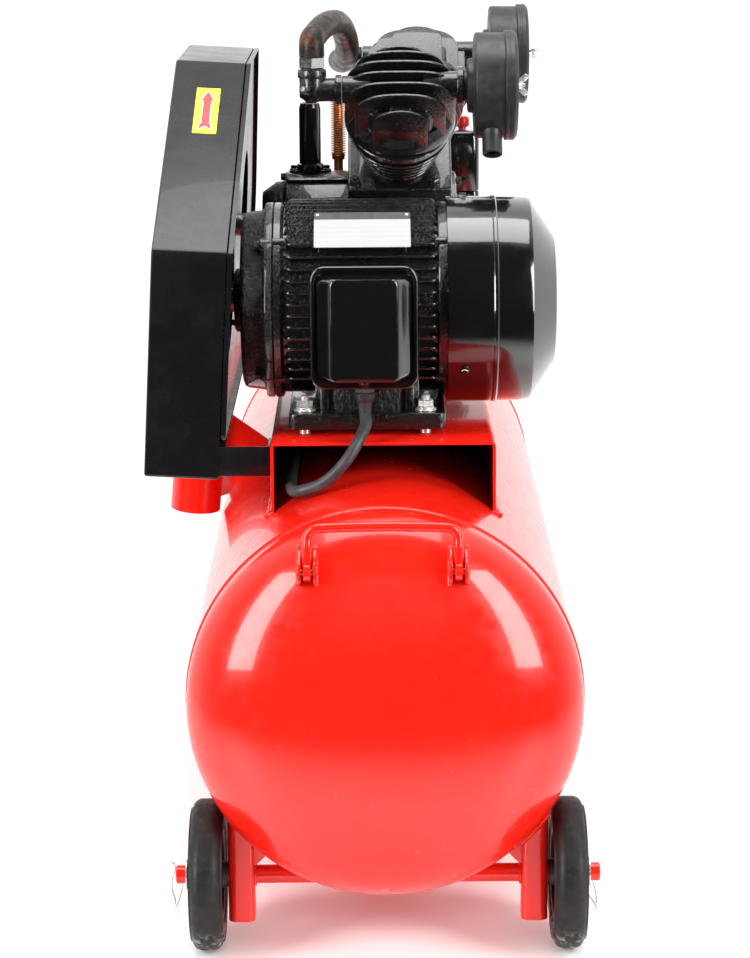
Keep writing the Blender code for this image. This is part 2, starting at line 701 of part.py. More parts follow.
# ----------------------------------------------------------------- belt drive
def belt_outline(small, large, steps=9):
    """Outline of a loop round the two pulleys, in (y, z) from the motor axis."""
    run = Vector((PUMP_Y - MOTOR_Y, PUMP_Z - MOTOR_Z))
    slope = math.atan2(run.y, run.x)
    wrap = math.acos((large - small) / run.length)
    points = []
    for k in range(steps + 1):
        angle = slope + (math.pi - wrap) + 2 * wrap * k / steps
        points.append((small * math.cos(angle), small * math.sin(angle)))
    for k in range(2 * steps + 1):
        sweep = 2 * math.pi - 2 * wrap
        angle = slope - (math.pi - wrap) + sweep * k / (2 * steps)
        points.append((run.x + large * math.cos(angle), run.y + large * math.sin(angle)))
    return points


def drive_belt():
    """Banded pair of V-belts as one closed loop in the grooves."""
    small = PULLEY_R - GROOVE + BELT_LIFT
    large = FLYWHEEL_R - GROOVE + BELT_LIFT
    place = here(DRIVE_X, MOTOR_Y, MOTOR_Z)
    outer = prism(belt_outline(small + BELT_T, large + BELT_T), -BELT_W / 2, BELT_W / 2, "X")
    obj = finish("drive_belt", outer, rubber(), place)
    inner = prism(belt_outline(small, large), -BELT_W, BELT_W, "X")
    return apply_tool(obj, cutter("drive_belt_inside_cut", inner, place))


def flywheel():
    """Grooved pump pulley whose five broad spokes fan air over the pump."""
    place = here(DRIVE_X, PUMP_Y, PUMP_Z)
    half = 0.0215
    groove = BELT_W / 2 + 0.001
    floor = FLYWHEEL_R - GROOVE
    rim = [(0.158, -half), (FLYWHEEL_R, -half), (FLYWHEEL_R, -groove), (floor, -groove),
           (floor, groove), (FLYWHEEL_R, groove), (FLYWHEEL_R, half), (0.158, half)]
    obj = finish("flywheel", turned(rim, "X", 28, closed=True), cast_black(), place)
    for i in range(5):
        spoke = cutter(f"flywheel_spoke_{i}", slab((-0.005, -0.019, 0.020),
                                                   (0.005, 0.019, 0.1625)), place)
        spoke.rotation_euler = (2 * math.pi * i / 5, 0, 0)
        apply_tool(obj, spoke, "UNION")
    hub = cutter("flywheel_hub", rod(0.033, -half, half + 0.004, "X", 16), place)
    apply_tool(obj, hub, "UNION")
    bore = rod(CRANK_R + GAP, -0.04, 0.04, "X", 14)
    return apply_tool(obj, cutter("flywheel_bore_cut", bore, place))


def crankshaft():
    """Shaft with one crankpin between two webs."""
    place = here(0, PUMP_Y, PUMP_Z)
    obj = finish("crankshaft", rod(CRANK_R, -0.2440, 0.0020, "X", 14), steel(), place)
    web = [(-0.018, -0.036), (0.018, -0.036), (0.022, -0.010), (0.017, 0.036), (-0.017, 0.036),
           (-0.022, -0.010)]
    for label, low, high in (("drive", 0.0, 0.009), ("end", 0.0720, 0.0805)):
        apply_tool(obj, cutter(f"crank_web_{label}", prism(web, low, high, "X"), place), "UNION")
    pin = cutter("crank_pin", rod(0.0125, 0.004, 0.0765, "X", 16),
                 here(0, PUMP_Y, PUMP_Z + CRANK_THROW))
    return apply_tool(obj, pin, "UNION")


# ----------------------------------------------------------------------- pump
def cylinder_turn(end):
    """Rotation that points local +Z along a cylinder's axis."""
    return (math.radians(45 if end == "front" else -45), 0, 0)


def on_cylinder(obj, end):
    obj.location = here(CYL_X[end], PUMP_Y, PUMP_Z)
    obj.rotation_euler = cylinder_turn(end)
    return obj


def crankcase():
    """Hollow casting with a foot, two decks at right angles and the bearing housing."""
    s = math.sqrt(0.5)
    deck = DECK * s
    reach = 0.050 * s
    half = [(0.0, PUMP_Z + 0.072), (deck - reach, PUMP_Z + deck + reach),
            (deck + reach, PUMP_Z + deck - reach), (0.088, 0.700), (0.088, 0.560)]
    outline = [(y, z) for y, z in half]
    outline += [(-y, z) for y, z in reversed(half[1:])]
    obj = finish("crankcase", prism(outline, *CASE_X, "X"), cast_black(), here(0, PUMP_Y, 0))
    foot = slab((CASE_X[0] - 0.010, -0.106, BRIDGE_TOP + GAP), (CASE_X[1] + 0.010, 0.106, 0.569))
    apply_tool(obj, cutter("crankcase_foot", foot, here(0, PUMP_Y, 0)), "UNION")
    housing = [(0, -0.030), (0.0685, -0.030), (0.0685, -0.120), (0.0560, -0.132),
               (0.0420, -0.150), (0, -0.150)]
    axis = here(0, PUMP_Y, PUMP_Z)
    apply_tool(obj, cutter("crankcase_housing", turned(housing[::-1], "X", 20), axis), "UNION")
    chamber = rod(0.054, -0.012, 0.0835, "X", 18)
    apply_tool(obj, cutter("crankcase_chamber_cut", chamber, axis))
    shaft = rod(CRANK_BORE, -0.20, 0.0, "X", 14)
    apply_tool(obj, cutter("crankcase_shaft_cut", shaft, axis))
    for end in ("front", "rear"):
        bore = cutter(f"crankcase_bore_{end}", rod(0.0335, 0.0, 0.2, "Z", 16))
        apply_tool(obj, on_cylinder(bore, end))
    return obj


def cylinder(end):
    """Finned barrel, wider towards the head, on a small round foot."""
    profile = [(BORE_R, DECK + GAP), (0.038, DECK + GAP), (0.038, DECK + 0.009)]
    fins = 3
    for k in range(fins):
        base = DECK + 0.0180 + 0.0160 * k
        radius = 0.052 + 0.0045 * k
        profile += [(0.0385, base), (radius, base + 0.0008), (radius, base + 0.0038),
                    (0.0385, base + 0.0046)]
    profile += [(0.0385, BARREL_TOP - 0.0085), (0.0630, BARREL_TOP - 0.0080),
                (0.0630, BARREL_TOP), (BORE_R, BARREL_TOP)]
    obj = finish(f"cylinder_{end}", turned(profile, "Z", 16, closed=True), cast_black())
    return on_cylinder(obj, end)


def head_comb():
    """Fins across the head as a comb outline in (slope, height)."""
    base = BARREL_TOP + 0.026
    top = HEAD_TOP + 0.01
    outline = [(-0.075, BARREL_TOP + GAP), (0.075, BARREL_TOP + GAP), (0.075, base)]
    pitch = 0.0200
    for k in range(2, -3, -1):
        centre = k * pitch
        outline += [(centre + 0.0022, base), (centre + 0.0017, top), (centre - 0.0017, top),
                    (centre - 0.0022, base)]
    outline += [(-0.075, base)]
    return outline


def cylinder_head(end):
    """Cast head: a round body crossed by tall fins under one shallow dome."""
    obj = on_cylinder(finish(f"head_{end}", prism(head_comb(), -0.08, 0.08, "X"), cast_black()),
                      end)
    dome = [(0, BARREL_TOP), (0.0675, BARREL_TOP), (0.0675, 0.270), (0.060, 0.284),
            (0.034, 0.295), (0, HEAD_TOP)]
    shape = turned(dome, "Z", 18)
    bmesh.ops.scale(shape, vec=(1.0, 0.86, 1.0), verts=shape.verts)
    apply_tool(obj, on_cylinder(cutter(f"head_{end}_dome", shape), end), "INTERSECT")
    spine = slab((-0.018, -0.028, BARREL_TOP + 0.020), (0.018, 0.028, 0.276))
    apply_tool(obj, on_cylinder(cutter(f"head_{end}_spine", spine), end), "UNION")
    return obj


def piston(end):
    """Hollow piston with a closed crown, halfway along its stroke."""
    crown = PISTON_CROWN
    skirt = crown - PISTON_LENGTH
    profile = [(0, crown), (PISTON_R, crown), (PISTON_R, skirt), (0.0270, skirt),
               (0.0270, crown - 0.008), (0, crown - 0.008)]
    obj = finish(f"piston_{end}", turned(profile, "Z", 16),
                 material("piston_alloy", (0.70, 0.70, 0.72), 0.35, 1.0))
    return on_cylinder(obj, end)


def air_filter(end):
    """Drum intake filter on the right of its head, with neck, cap and intake snout."""
    sign = -1 if end == "front" else 1
    if end == "front":
        x, y, z = 0.0, PUMP_Y - 0.195, 0.938
    else:
        x, y, z = FILTER_SHIFT, PUMP_Y + 0.195, 0.945
    place = here(x, y, z)
    profile = [(0, 0.1000), (0.0185, 0.1000), (0.0185, 0.1040), (0.0320, 0.1050),
               (0.0330, 0.1110), (0.0630, 0.1130), (0.0630, 0.1480),
               (FILTER_R, 0.1490), (FILTER_R, 0.1600), (0.0610, 0.1635), (0, 0.1635)]
    obj = finish(f"filter_{end}", turned(profile[::-1], "X", 20), grey_plastic(), place)
    snout = cutter(f"filter_{end}_snout", rod(0.0120, -SNOUT_TIP, -0.040, "Z", 16),
                   here(x + 0.1330, y, z))
    snout.rotation_euler = (SNOUT_TILT * sign, 0, 0)
    apply_tool(obj, snout, "UNION")
    hole = rod(0.0095, -SNOUT_TIP - 0.01, -SNOUT_TIP + 0.004, "Z", 16)
    mouth = cutter(f"filter_{end}_mouth_cut", hole, here(x + 0.1330, y, z))
    mouth.rotation_euler = snout.rotation_euler
    return apply_tool(obj, mouth)


PORT_ENDS = {"front": -0.0460, "rear": -0.0220}


def discharge_port(end):
    """Round cast outlet on the drive side of a head."""
    x = PORT_ENDS[end]
    y, z = ELBOW[1:] if end == "front" else (0.780, 0.940)
    return cutter(f"discharge_port_{end}", rod(0.0165, x, x + 0.030, "X", 16), here(0, y, z))


def intake_neck(end):
    """Round cast port between a head and its filter."""
    if end == "front":
        x, y, z = 0.0, PUMP_Y - 0.195, 0.938
    else:
        x, y, z = FILTER_SHIFT, PUMP_Y + 0.195, 0.945
    return cutter(f"intake_neck_{end}", rod(0.0170, 0.060, 0.1000 - GAP, "X", 20),
                  here(x, y, z))


# -------------------------------------------------------------------- air path
ELBOW = (-0.0815, 0.385, 0.9340)


def discharge_elbow():
    """Cast elbow on the left of the front head with its collar and union nut."""
    x, y, z = ELBOW
    inlet = rod(0.0140, x, PORT_ENDS["front"] - GAP, "X", 16)
    obj = finish("discharge_elbow", inlet, cast_black(), here(0, y, z))
    riser = [(0, -0.0155), (0.0130, -0.0140), (0.0153, -0.0075), (0.0153, 0.0145),
             (0.0168, 0.0150), (0.0168, 0.0245), (0.0145, 0.0260), (0.0145, 0.0400), (0, 0.0400)]
    upright = cutter("discharge_elbow_riser", turned(riser, "Z", 16), here(x, y, z))
    return apply_tool(obj, upright, "UNION")


def discharge_tube():
    """Thick pipe that arches from the front head's elbow to the rear head."""
    x, y, z = ELBOW
    route = [(x, y, z + 0.0440), (x, y, z + 0.0560), (-0.0790, 0.3960, 0.9960),
             (-0.0670, 0.4400, 1.0064), (-0.0540, 0.4950, 1.0066), (-0.0455, 0.5550, 0.9930),
             (-0.0410, 0.6200, 0.9690), (-0.0450, 0.7000, 0.9450), (-0.0500, 0.7350, 0.9400),
             (-0.0520, 0.7560, 0.9400), (-0.0470, 0.7740, 0.9400), (-0.0370, 0.7800, 0.9400),
             (PORT_ENDS["rear"] - 0.0040, 0.7800, 0.9400)]
    return pipe("discharge_tube", [here(*p) for p in route], HOT_PIPE_R,
                material("heat_stained_steel", (0.10, 0.075, 0.06), 0.35, 0.6), spacing=0.018,
                resolution=2)


def cooler_tube():
    """Finned copper pipe from the rear head down to the receiver's check valve."""
    x = -0.0540
    route = [(x, 0.6680, 0.9130), (x, 0.6680, 0.8400), (x, 0.6680, 0.7300), (x, 0.6720, 0.6400),
             (x, 0.7200, 0.5980), (x, 0.7800, 0.5900), (x, 0.8100, 0.5700), (x, 0.8150, 0.5300)]
    obj = solid_pipe("cooler_tube", [here(*p) for p in route], 0.0062, copper(), spacing=0.030,
                     resolution=2)
    fins = cutter("cooler_fins", rod(0.0088, 0.8250, 0.9050, "Z", 10), here(x, 0.6680, 0))
    return apply_tool(obj, fins, "UNION")


def breather():
    """Crankcase breather standing on the bearing housing."""
    profile = [(0, 0.8090), (0.0175, 0.8090), (0.0175, 0.8230), (0.0138, 0.8245),
               (0.0138, 0.8960), (0.0120, 0.9000), (0, 0.9000)]
    obj = finish("breather", turned(profile, "Z", 14), black_paint(), here(-0.0890, PUMP_Y, 0))
    housing = cutter("breather_housing_cut", rod(0.0685 + GAP, -0.13, -0.05, "X", 40),
                     here(0, PUMP_Y, PUMP_Z))
    return apply_tool(obj, housing)


# ------------------------------------------------------------ receiver fittings
def outlet_manifold():
    """Riser from the receiver with a side port for the switch and an outlet valve."""
    x = SWITCH_X - 0.030
    base = TANK_Z + math.sqrt(TANK_R ** 2 - x ** 2) - 0.004
    riser = [(0, base), (0.0170, base), (0.0170, base + 0.020), (0.0110, base + 0.021),
             (0.0110, 0.800), (0.0160, 0.801), (0.0160, 0.820), (0, 0.820)]
    obj = finish("outlet_manifold", turned(riser, "Z", 12), brass(), here(x, RISER_Y, 0))
    port = rod(0.0080, 0.0, 0.030, "X", 14)
    apply_tool(obj, cutter("manifold_switch_port", port, here(x, RISER_Y, 0.788)), "UNION")
    valve = [(0, 0), (0.0098, 0), (0.0098, 0.022), (0.0160, 0.023), (0.0160, 0.045),
             (0.0098, 0.046), (0.0098, 0.062), (0.0075, 0.062), (0.0075, 0.052), (0, 0.052)]
    apply_tool(obj, cutter("manifold_valve", turned(valve, "Y", 12), here(x, RISER_Y, 0.620)),
               "UNION")
    return apply_tool(obj, tank_clearance("manifold_tank_cut"))


def outlet_lever():
    """Quarter-turn lever on the outlet valve."""
    x = SWITCH_X - 0.030
    place = here(x, RISER_Y + 0.034, 0.620)
    obj = finish("outlet_lever", rod(0.0075, 0.0163, 0.0240, "Z", 14), red_plastic(), place)
    blade = [(-0.006, 0.0), (0.006, 0.0), (0.007, 0.055), (0.0, 0.060), (-0.007, 0.055)]
    tool = cutter("outlet_lever_blade", prism(blade, 0.0200, 0.0240, "Z"), place)
    return apply_tool(obj, tool, "UNION")


def pressure_switch():
    """Switch housing beside the pump with a foot plate."""
    place = here(SWITCH_X, SWITCH_Y, 0)
    obj = finish("pressure_switch", prism(rounded(0.0225, 0.0290, 0.010, 4), 0.7420, 0.8360, "Z"),
                 black_paint(), place)
    bevel = obj.modifiers.new("edge", "BEVEL")
    bevel.width = 0.003
    bevel.segments = 1
    bevel.limit_method = "ANGLE"
    bevel.angle_limit = math.radians(60)
    port = rod(0.0080 + GAP, -0.030, 0.000 + GAP, "X", 18)
    return apply_tool(obj, cutter("switch_port_cut", port, here(SWITCH_X, RISER_Y, 0.788)))


def switch_knob():
    """Pull-up on/off knob on top of the switch."""
    profile = [(0, 0.8364), (0.0055, 0.8364), (0.0055, 0.8395), (0.0090, 0.8400),
               (0.0090, 0.8520), (0.0075, 0.8540), (0, 0.8540)]
    return finish("switch_knob", turned(profile, "Z", 18), red_plastic(),
                  here(SWITCH_X, SWITCH_Y, 0))


def safety_valve():
    """Relief valve on top of the manifold, with a groove for its pull ring."""
    x = SWITCH_X - 0.030
    profile = [(0, 0.8203), (0.0100, 0.8203), (0.0100, 0.8300), (0.0120, 0.8310),
               (0.0120, 0.8400), (0.0085, 0.8410), (0.0085, 0.8620), (0, 0.8620)]
    return finish("safety_valve", turned(profile, "Z", 14), brass(), here(x, RISER_Y, 0))


def safety_ring():
    """Pull ring above the relief valve's stem."""
    x = SWITCH_X - 0.030
    ring = [(0.0085 + 0.0016 * math.cos(a), 0.0016 * math.sin(a))
            for a in (2 * math.pi * k / 4 for k in range(4))]
    obj = finish("safety_ring", turned(ring, "Y", 12, closed=True), zinc(),
                 here(x, RISER_Y, 0.8790))
    stem = cutter("safety_ring_stem", rod(0.0028, 0.8623, 0.8710, "Z", 10), here(x, RISER_Y, 0))
    return apply_tool(obj, stem, "UNION")


def drain_valve():
    """Condensate drain under the lowest point of the receiver."""
    top = TANK_Z - TANK_R - GAP
    profile = [(0, top), (0.0120, top), (0.0120, top - 0.010), (0.0085, top - 0.011),
               (0.0085, top - 0.022), (0, top - 0.022)]
    return finish("drain_valve", turned(profile, "Z", 14), brass(), here(0, PUMP_Y, 0))


def drain_key():
    """Wing key that opens the drain."""
    top = TANK_Z - TANK_R - GAP - 0.0224
    obj = finish("drain_key", rod(0.0060, top - 0.010, top, "Z", 12), brass(),
                 here(0, PUMP_Y, 0))
    wings = slab((-0.015, -0.0015, top - 0.010), (0.015, 0.0015, top - 0.003))
    return apply_tool(obj, cutter("drain_key_wings", wings, here(0, PUMP_Y, 0)), "UNION")


# --------------------------------------------------------------------- assembly
def build_chassis():
    tank_shell()
    for end in AXLE_YS:
        for side in ("left", "right"):
            leg(end, side)
            wheel(end, side)
    motor_bridge()
    handle()
    handle_lug("left")
    handle_lug("right")


def build_guard():
    guard_cover()
    guard_plate()
    guard_post()


def build_motor():
    motor_frame()
    motor_bolts()
    motor_endshield()
    fan_cowl()
    terminal_box()
    terminal_lid()
    cable_gland()
    motor_cable()
    motor_rotor()
    motor_fan()
    motor_pulley()
    drive_belt()


def build_pump():
    flywheel()
    crankshaft()
    crankcase()
    for end in ("front", "rear"):
        cylinder(end)
        head = cylinder_head(end)
        apply_tool(head, intake_neck(end), "UNION")
        apply_tool(head, discharge_port(end), "UNION")
        piston(end)
        air_filter(end)
    discharge_elbow()
    discharge_tube()
    cooler_tube()
    breather()


def build_fittings():
    outlet_manifold()
    outlet_lever()
    pressure_switch()
    switch_knob()
    safety_valve()
    safety_ring()
    drain_valve()
    drain_key()


def main():
    clear_scene()
    build_chassis()
    build_guard()
    build_motor()
    build_pump()
    build_fittings()


main()
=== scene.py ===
"""Looks of the wheeled, belt-driven air compressor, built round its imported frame.

Lengths are metres and +Z is up.  Places are given in the receiver's own terms:
x from its axis, y from its front weld seam and z from the floor; at() turns them
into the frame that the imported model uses.
"""
import math

import bmesh
import bpy
from mathutils import Matrix, Vector, noise


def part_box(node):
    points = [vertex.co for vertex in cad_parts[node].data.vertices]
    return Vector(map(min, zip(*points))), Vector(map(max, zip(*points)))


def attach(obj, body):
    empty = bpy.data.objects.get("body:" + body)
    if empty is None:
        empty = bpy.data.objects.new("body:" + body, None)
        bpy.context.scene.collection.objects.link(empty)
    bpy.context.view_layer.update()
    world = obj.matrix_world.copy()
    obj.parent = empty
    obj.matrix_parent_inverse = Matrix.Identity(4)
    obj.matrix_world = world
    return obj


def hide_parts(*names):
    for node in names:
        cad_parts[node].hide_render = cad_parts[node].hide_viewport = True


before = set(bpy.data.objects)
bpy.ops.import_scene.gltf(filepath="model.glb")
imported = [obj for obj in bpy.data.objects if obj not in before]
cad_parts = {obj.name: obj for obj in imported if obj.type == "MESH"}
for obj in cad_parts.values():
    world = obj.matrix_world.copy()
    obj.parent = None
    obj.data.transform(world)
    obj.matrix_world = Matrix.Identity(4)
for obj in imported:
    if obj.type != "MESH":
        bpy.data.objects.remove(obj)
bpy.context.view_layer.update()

TURN = 2 * math.pi
ONTO_AXIS = {"X": (0, math.pi / 2, 0), "Y": (-math.pi / 2, 0, 0), "Z": (0, 0, 0)}


# ------------------------------------------------------------------ places
def middle(node):
    low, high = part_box(node)
    return (low + high) / 2


def size(node):
    low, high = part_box(node)
    return high - low


TANK_LENGTH = 1.16                       # between the two ring seams
AXIS = middle("tank_shell")
TANK_BEAD = 0.0015
TANK_R = size("tank_shell").z / 2 - TANK_BEAD
TANK_Z = AXIS.z


def at(x, y, z):
    return Vector((x + AXIS.x, y + AXIS.y - TANK_LENGTH / 2, z))


# --------------------------------------------------------------- mesh tools
def turned(profile, axis="Z", steps=64, closed=False):
    """Revolve (radius, distance along the axis) points about an axis."""
    bm = bmesh.new()
    verts = [bm.verts.new((r, 0.0, t)) for r, t in profile]
    edges = [bm.edges.new(pair) for pair in zip(verts, verts[1:])]
    if closed:
        edges.append(bm.edges.new((verts[-1], verts[0])))
    bmesh.ops.spin(bm, geom=verts + edges, cent=(0, 0, 0), axis=(0, 0, 1),
                   angle=TURN, steps=steps, use_merge=True)
    bmesh.ops.remove_doubles(bm, verts=bm.verts, dist=1e-6)
    return moved(bm, turn=ONTO_AXIS[axis])


def rod(radius, start, end, axis="Z", steps=32, chamfer=0.0):
    low, high = sorted((start, end))
    profile = [(0, low), (radius - chamfer, low), (radius, low + chamfer),
               (radius, high - chamfer), (radius - chamfer, high), (0, high)]
    if not chamfer:
        profile = [profile[0], (radius, low), (radius, high), profile[-1]]
    return turned(profile, axis, steps)


def prism(outline, start, end, axis="X"):
    """Extrude an outline; (y, z) along X, (x, z) along Y or (x, y) along Z."""
    bm = bmesh.new()
    order = {"X": lambda a, b: (start, a, b),
             "Y": lambda a, b: (a, start, b),
             "Z": lambda a, b: (a, b, start)}[axis]
    step = {"X": (end - start, 0, 0), "Y": (0, end - start, 0), "Z": (0, 0, end - start)}[axis]
    face = bm.faces.new([bm.verts.new(order(a, b)) for a, b in outline])
    out = bmesh.ops.extrude_face_region(bm, geom=[face])
    moved_verts = [g for g in out["geom"] if isinstance(g, bmesh.types.BMVert)]
    bmesh.ops.translate(bm, verts=moved_verts, vec=step)
    return bm


def slab(low, high):
    bm = bmesh.new()
    bmesh.ops.create_cube(bm, size=1.0)
    bmesh.ops.scale(bm, vec=Vector(high) - Vector(low), verts=bm.verts)
    bmesh.ops.translate(bm, vec=(Vector(high) + Vector(low)) / 2, verts=bm.verts)
    return bm


def softened(bm, width=0.0008, segments=2, angle=30):
    """Round a mesh's sharp edges."""
    bmesh.ops.recalc_face_normals(bm, faces=bm.faces)
    limit = math.radians(angle)
    edges = [e for e in bm.edges if len(e.link_faces) == 2 and e.calc_face_angle(0) > limit]
    bmesh.ops.bevel(bm, geom=edges, offset=width, segments=segments, profile=0.5,
                    affect="EDGES", clamp_overlap=True)
    return bm


def moved(bm, place=(0, 0, 0), turn=(0, 0, 0)):
    """Turn a mesh about X, then Y, then Z, and shift it."""
    spin = Matrix.Identity(4)
    for angle, axis in zip(turn, "XYZ"):
        spin = Matrix.Rotation(angle, 4, axis) @ spin
    bmesh.ops.transform(bm, matrix=Matrix.Translation(place) @ spin, verts=bm.verts)
    return bm


def together(*parts):
    """One mesh that holds several closed bodies."""
    whole = bmesh.new()
    for part in parts:
        mesh = bpy.data.meshes.new("part")
        part.to_mesh(mesh)
        part.free()
        whole.from_mesh(mesh)
        bpy.data.meshes.remove(mesh)
    return whole


def cut(bm, tool):
    """A closed mesh with another closed mesh taken out of it."""
    objects = []
    for source in (bm, tool):
        bmesh.ops.recalc_face_normals(source, faces=source.faces)
        mesh = bpy.data.meshes.new("cut")
        source.to_mesh(mesh)
        source.free()
        obj = bpy.data.objects.new("cut", mesh)
        bpy.context.scene.collection.objects.link(obj)
        objects.append(obj)
    solid, blade = objects
    modifier = solid.modifiers.new("cut", "BOOLEAN")
    modifier.operation = "DIFFERENCE"
    modifier.solver = "EXACT"
    modifier.object = blade
    bpy.context.view_layer.update()
    graph = bpy.context.evaluated_depsgraph_get()
    mesh = bpy.data.meshes.new_from_object(solid.evaluated_get(graph))
    result = bmesh.new()
    result.from_mesh(mesh)
    bpy.data.meshes.remove(mesh)
    for obj in objects:
        bpy.data.objects.remove(obj)
    return result


def rounded(half_a, half_b, radius, steps=6, centre=(0.0, 0.0)):
    """Outline of a rounded rectangle, counter-clockwise."""
    points = []
    for quarter, (sa, sb) in enumerate(((1, 1), (-1, 1), (-1, -1), (1, -1))):
        for k in range(steps + 1):
            angle = math.pi / 2 * (quarter + k / steps)
            points.append((centre[0] + sa * (half_a - radius) + radius * math.cos(angle),
                           centre[1] + sb * (half_b - radius) + radius * math.sin(angle)))
    return points


def fillet(outline, radius, steps=5):
    """Round the corners of a polygon; radius is one length or one for each corner."""
    count = len(outline)
    radii = radius if isinstance(radius, (list, tuple)) else [radius] * count
    points = []
    for i, corner in enumerate(outline):
        here = Vector(corner)
        back = (Vector(outline[i - 1]) - here)
        ahead = (Vector(outline[(i + 1) % count]) - here)
        half = back.angle(ahead) / 2
        reach = min(radii[i] / math.tan(half), back.length * 0.49, ahead.length * 0.49)
        if reach < 1e-6:
            points.append(tuple(here))
            continue
        first = here + back.normalized() * reach
        last = here + ahead.normalized() * reach
        for k in range(steps + 1):
            t = k / steps
            points.append(tuple(first * (1 - t) ** 2 + here * 2 * t * (1 - t) + last * t * t))
    return points


def skinned(bm, rings, looped=False):
    """Join each ring of vertices to the next; the ends are capped, or joined if looped."""
    following = rings[1:] + rings[:1] if looped else rings[1:]
    for low, high in zip(rings, following):
        for i, vert in enumerate(low):
            j = (i + 1) % len(low)
            bm.faces.new((vert, low[j], high[j], high[i]))
    if not looped:
        bm.faces.new(rings[0][::-1])
        bm.faces.new(rings[-1])
    return bm


def lofted(levels, steps, point):
    """Skin over rounded rectangles, each two half sizes, a corner radius and a distance."""
    bm = bmesh.new()
    rings = [[bm.verts.new(point(a, b, t)) for a, b in rounded(half_a, half_b, radius, steps)]
             for half_a, half_b, radius, t in levels]
    return skinned(bm, rings)


def smooth_route(points, spacing):
    """Evenly spaced points on a Catmull-Rom curve through a route's own points."""
    pts = [Vector(p) for p in points]
    pts = [2 * pts[0] - pts[1]] + pts + [2 * pts[-1] - pts[-2]]
    dense = []
    for i in range(1, len(pts) - 2):
        p0, p1, p2, p3 = pts[i - 1:i + 3]
        for k in range(24):
            t = k / 24
            dense.append(0.5 * (2 * p1 + (p2 - p0) * t + (2 * p0 - 5 * p1 + 4 * p2 - p3) * t * t
                                + (3 * p1 - p0 - 3 * p2 + p3) * t ** 3))
    dense.append(pts[-2])
    total = sum((b - a).length for a, b in zip(dense, dense[1:]))
    count = max(2, round(total / spacing))
    route = [dense[0]]
    walked = 0.0
    for a, b in zip(dense, dense[1:]):
        walked += (b - a).length
        if walked >= total * len(route) / count - 1e-9 and len(route) <= count:
            route.append(b)
    return route


def swept(points, radius, sides, spacing):
    """A round tube along a smooth route, as a mesh; radius is a length or a function."""
    route = smooth_route(points, spacing)
    bm = bmesh.new()
    rings = []
    across = None
    for i, place in enumerate(route):
        ahead = route[min(i + 1, len(route) - 1)] - route[max(i - 1, 0)]
        ahead.normalize()
        if across is None:
            across = ahead.orthogonal().normalized()
        across = (across - ahead * across.dot(ahead)).normalized()
        side = ahead.cross(across)
        width = radius(i / (len(route) - 1)) if callable(radius) else radius
        rings.append([bm.verts.new(place + (across * math.cos(TURN * k / sides)
                                            + side * math.sin(TURN * k / sides)) * width)
                      for k in range(sides)])
    return skinned(bm, rings)


def ring(radius, wire, axis="Z", steps=64, sides=12):
    profile = [(radius + wire * math.cos(TURN * k / sides), wire * math.sin(TURN * k / sides))
               for k in range(sides)]
    return turned(profile, axis, steps, closed=True)


def spread(count, low, high, width, segments=2, axis="X"):
    """Equal slabs with softened edges, spread evenly round an axis."""
    blades = []
    for k in range(count):
        angle = TURN * k / count
        turn = (angle, 0, 0) if axis == "X" else (0, 0, angle)
        blades.append(moved(softened(slab(low, high), width, segments), turn=turn))
    return blades


def circled(count, radius, shift):
    """Angles round the X axis and their y and z, starting part of a step from +Y."""
    angles = [TURN * (k + shift) / count for k in range(count)]
    return [(angle, radius * math.cos(angle), radius * math.sin(angle)) for angle in angles]


def weld(points, radius=0.0028, spacing=0.0016):
    """A rippled weld bead along a route."""
    def width(share):
        return radius * (0.86 + 0.16 * abs(math.sin(share * len(points) * 9.0))
                         + 0.10 * noise.noise(Vector((share * 31.0, radius * 900, 0))))
    return swept(points, width, sides=10, spacing=spacing)


def hexagon(across_flats, low, high, axis="Z", chamfer=0.0008):
    """A nut or a bolt head with chamfered corners."""
    radius = across_flats / math.sqrt(3)
    bm = bmesh.new()
    rings = []
    inner = across_flats / 2 * 0.97
    for t, r in ((low, inner), (low + chamfer, radius), (high - chamfer, radius), (high, inner)):
        rings.append([bm.verts.new((r * math.cos(TURN * (k + 0.5) / 6),
                                    r * math.sin(TURN * (k + 0.5) / 6), t)) for k in range(6)])
    return moved(skinned(bm, rings), turn=ONTO_AXIS[axis])


def bolt(across_flats, height, stud=0.004, axis_turn=(0, 0, 0), place=(0, 0, 0)):
    """Washer, hexagon and rounded stud end standing on z = 0, then turned and placed."""
    radius = across_flats / 2
    washer = rod(radius * 1.35, 0.0, 0.0013, steps=28, chamfer=0.0003)
    head = hexagon(across_flats, 0.0013, 0.0013 + height)
    end = rod(radius * 0.55, height, 0.0013 + height + stud, steps=20, chamfer=0.0008)
    return moved(together(washer, head, end), place, axis_turn)


def piece(name, bm, material, body="chassis", place=(0, 0, 0), stands_for=(), sharp=32):
    """Make a mesh into a finished piece that rides on a body."""
    bmesh.ops.recalc_face_normals(bm, faces=bm.faces)
    mesh = bpy.data.meshes.new(name)
    bm.to_mesh(mesh)
    bm.free()
    mesh.materials.append(material)
    mesh.shade_smooth()
    mesh.set_sharp_from_angle(angle=math.radians(sharp))
    obj = bpy.data.objects.new(name, mesh)
    bpy.context.scene.collection.objects.link(obj)
    obj.location = place
    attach(obj, body)
    if stands_for:
        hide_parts(*stands_for)
    return obj


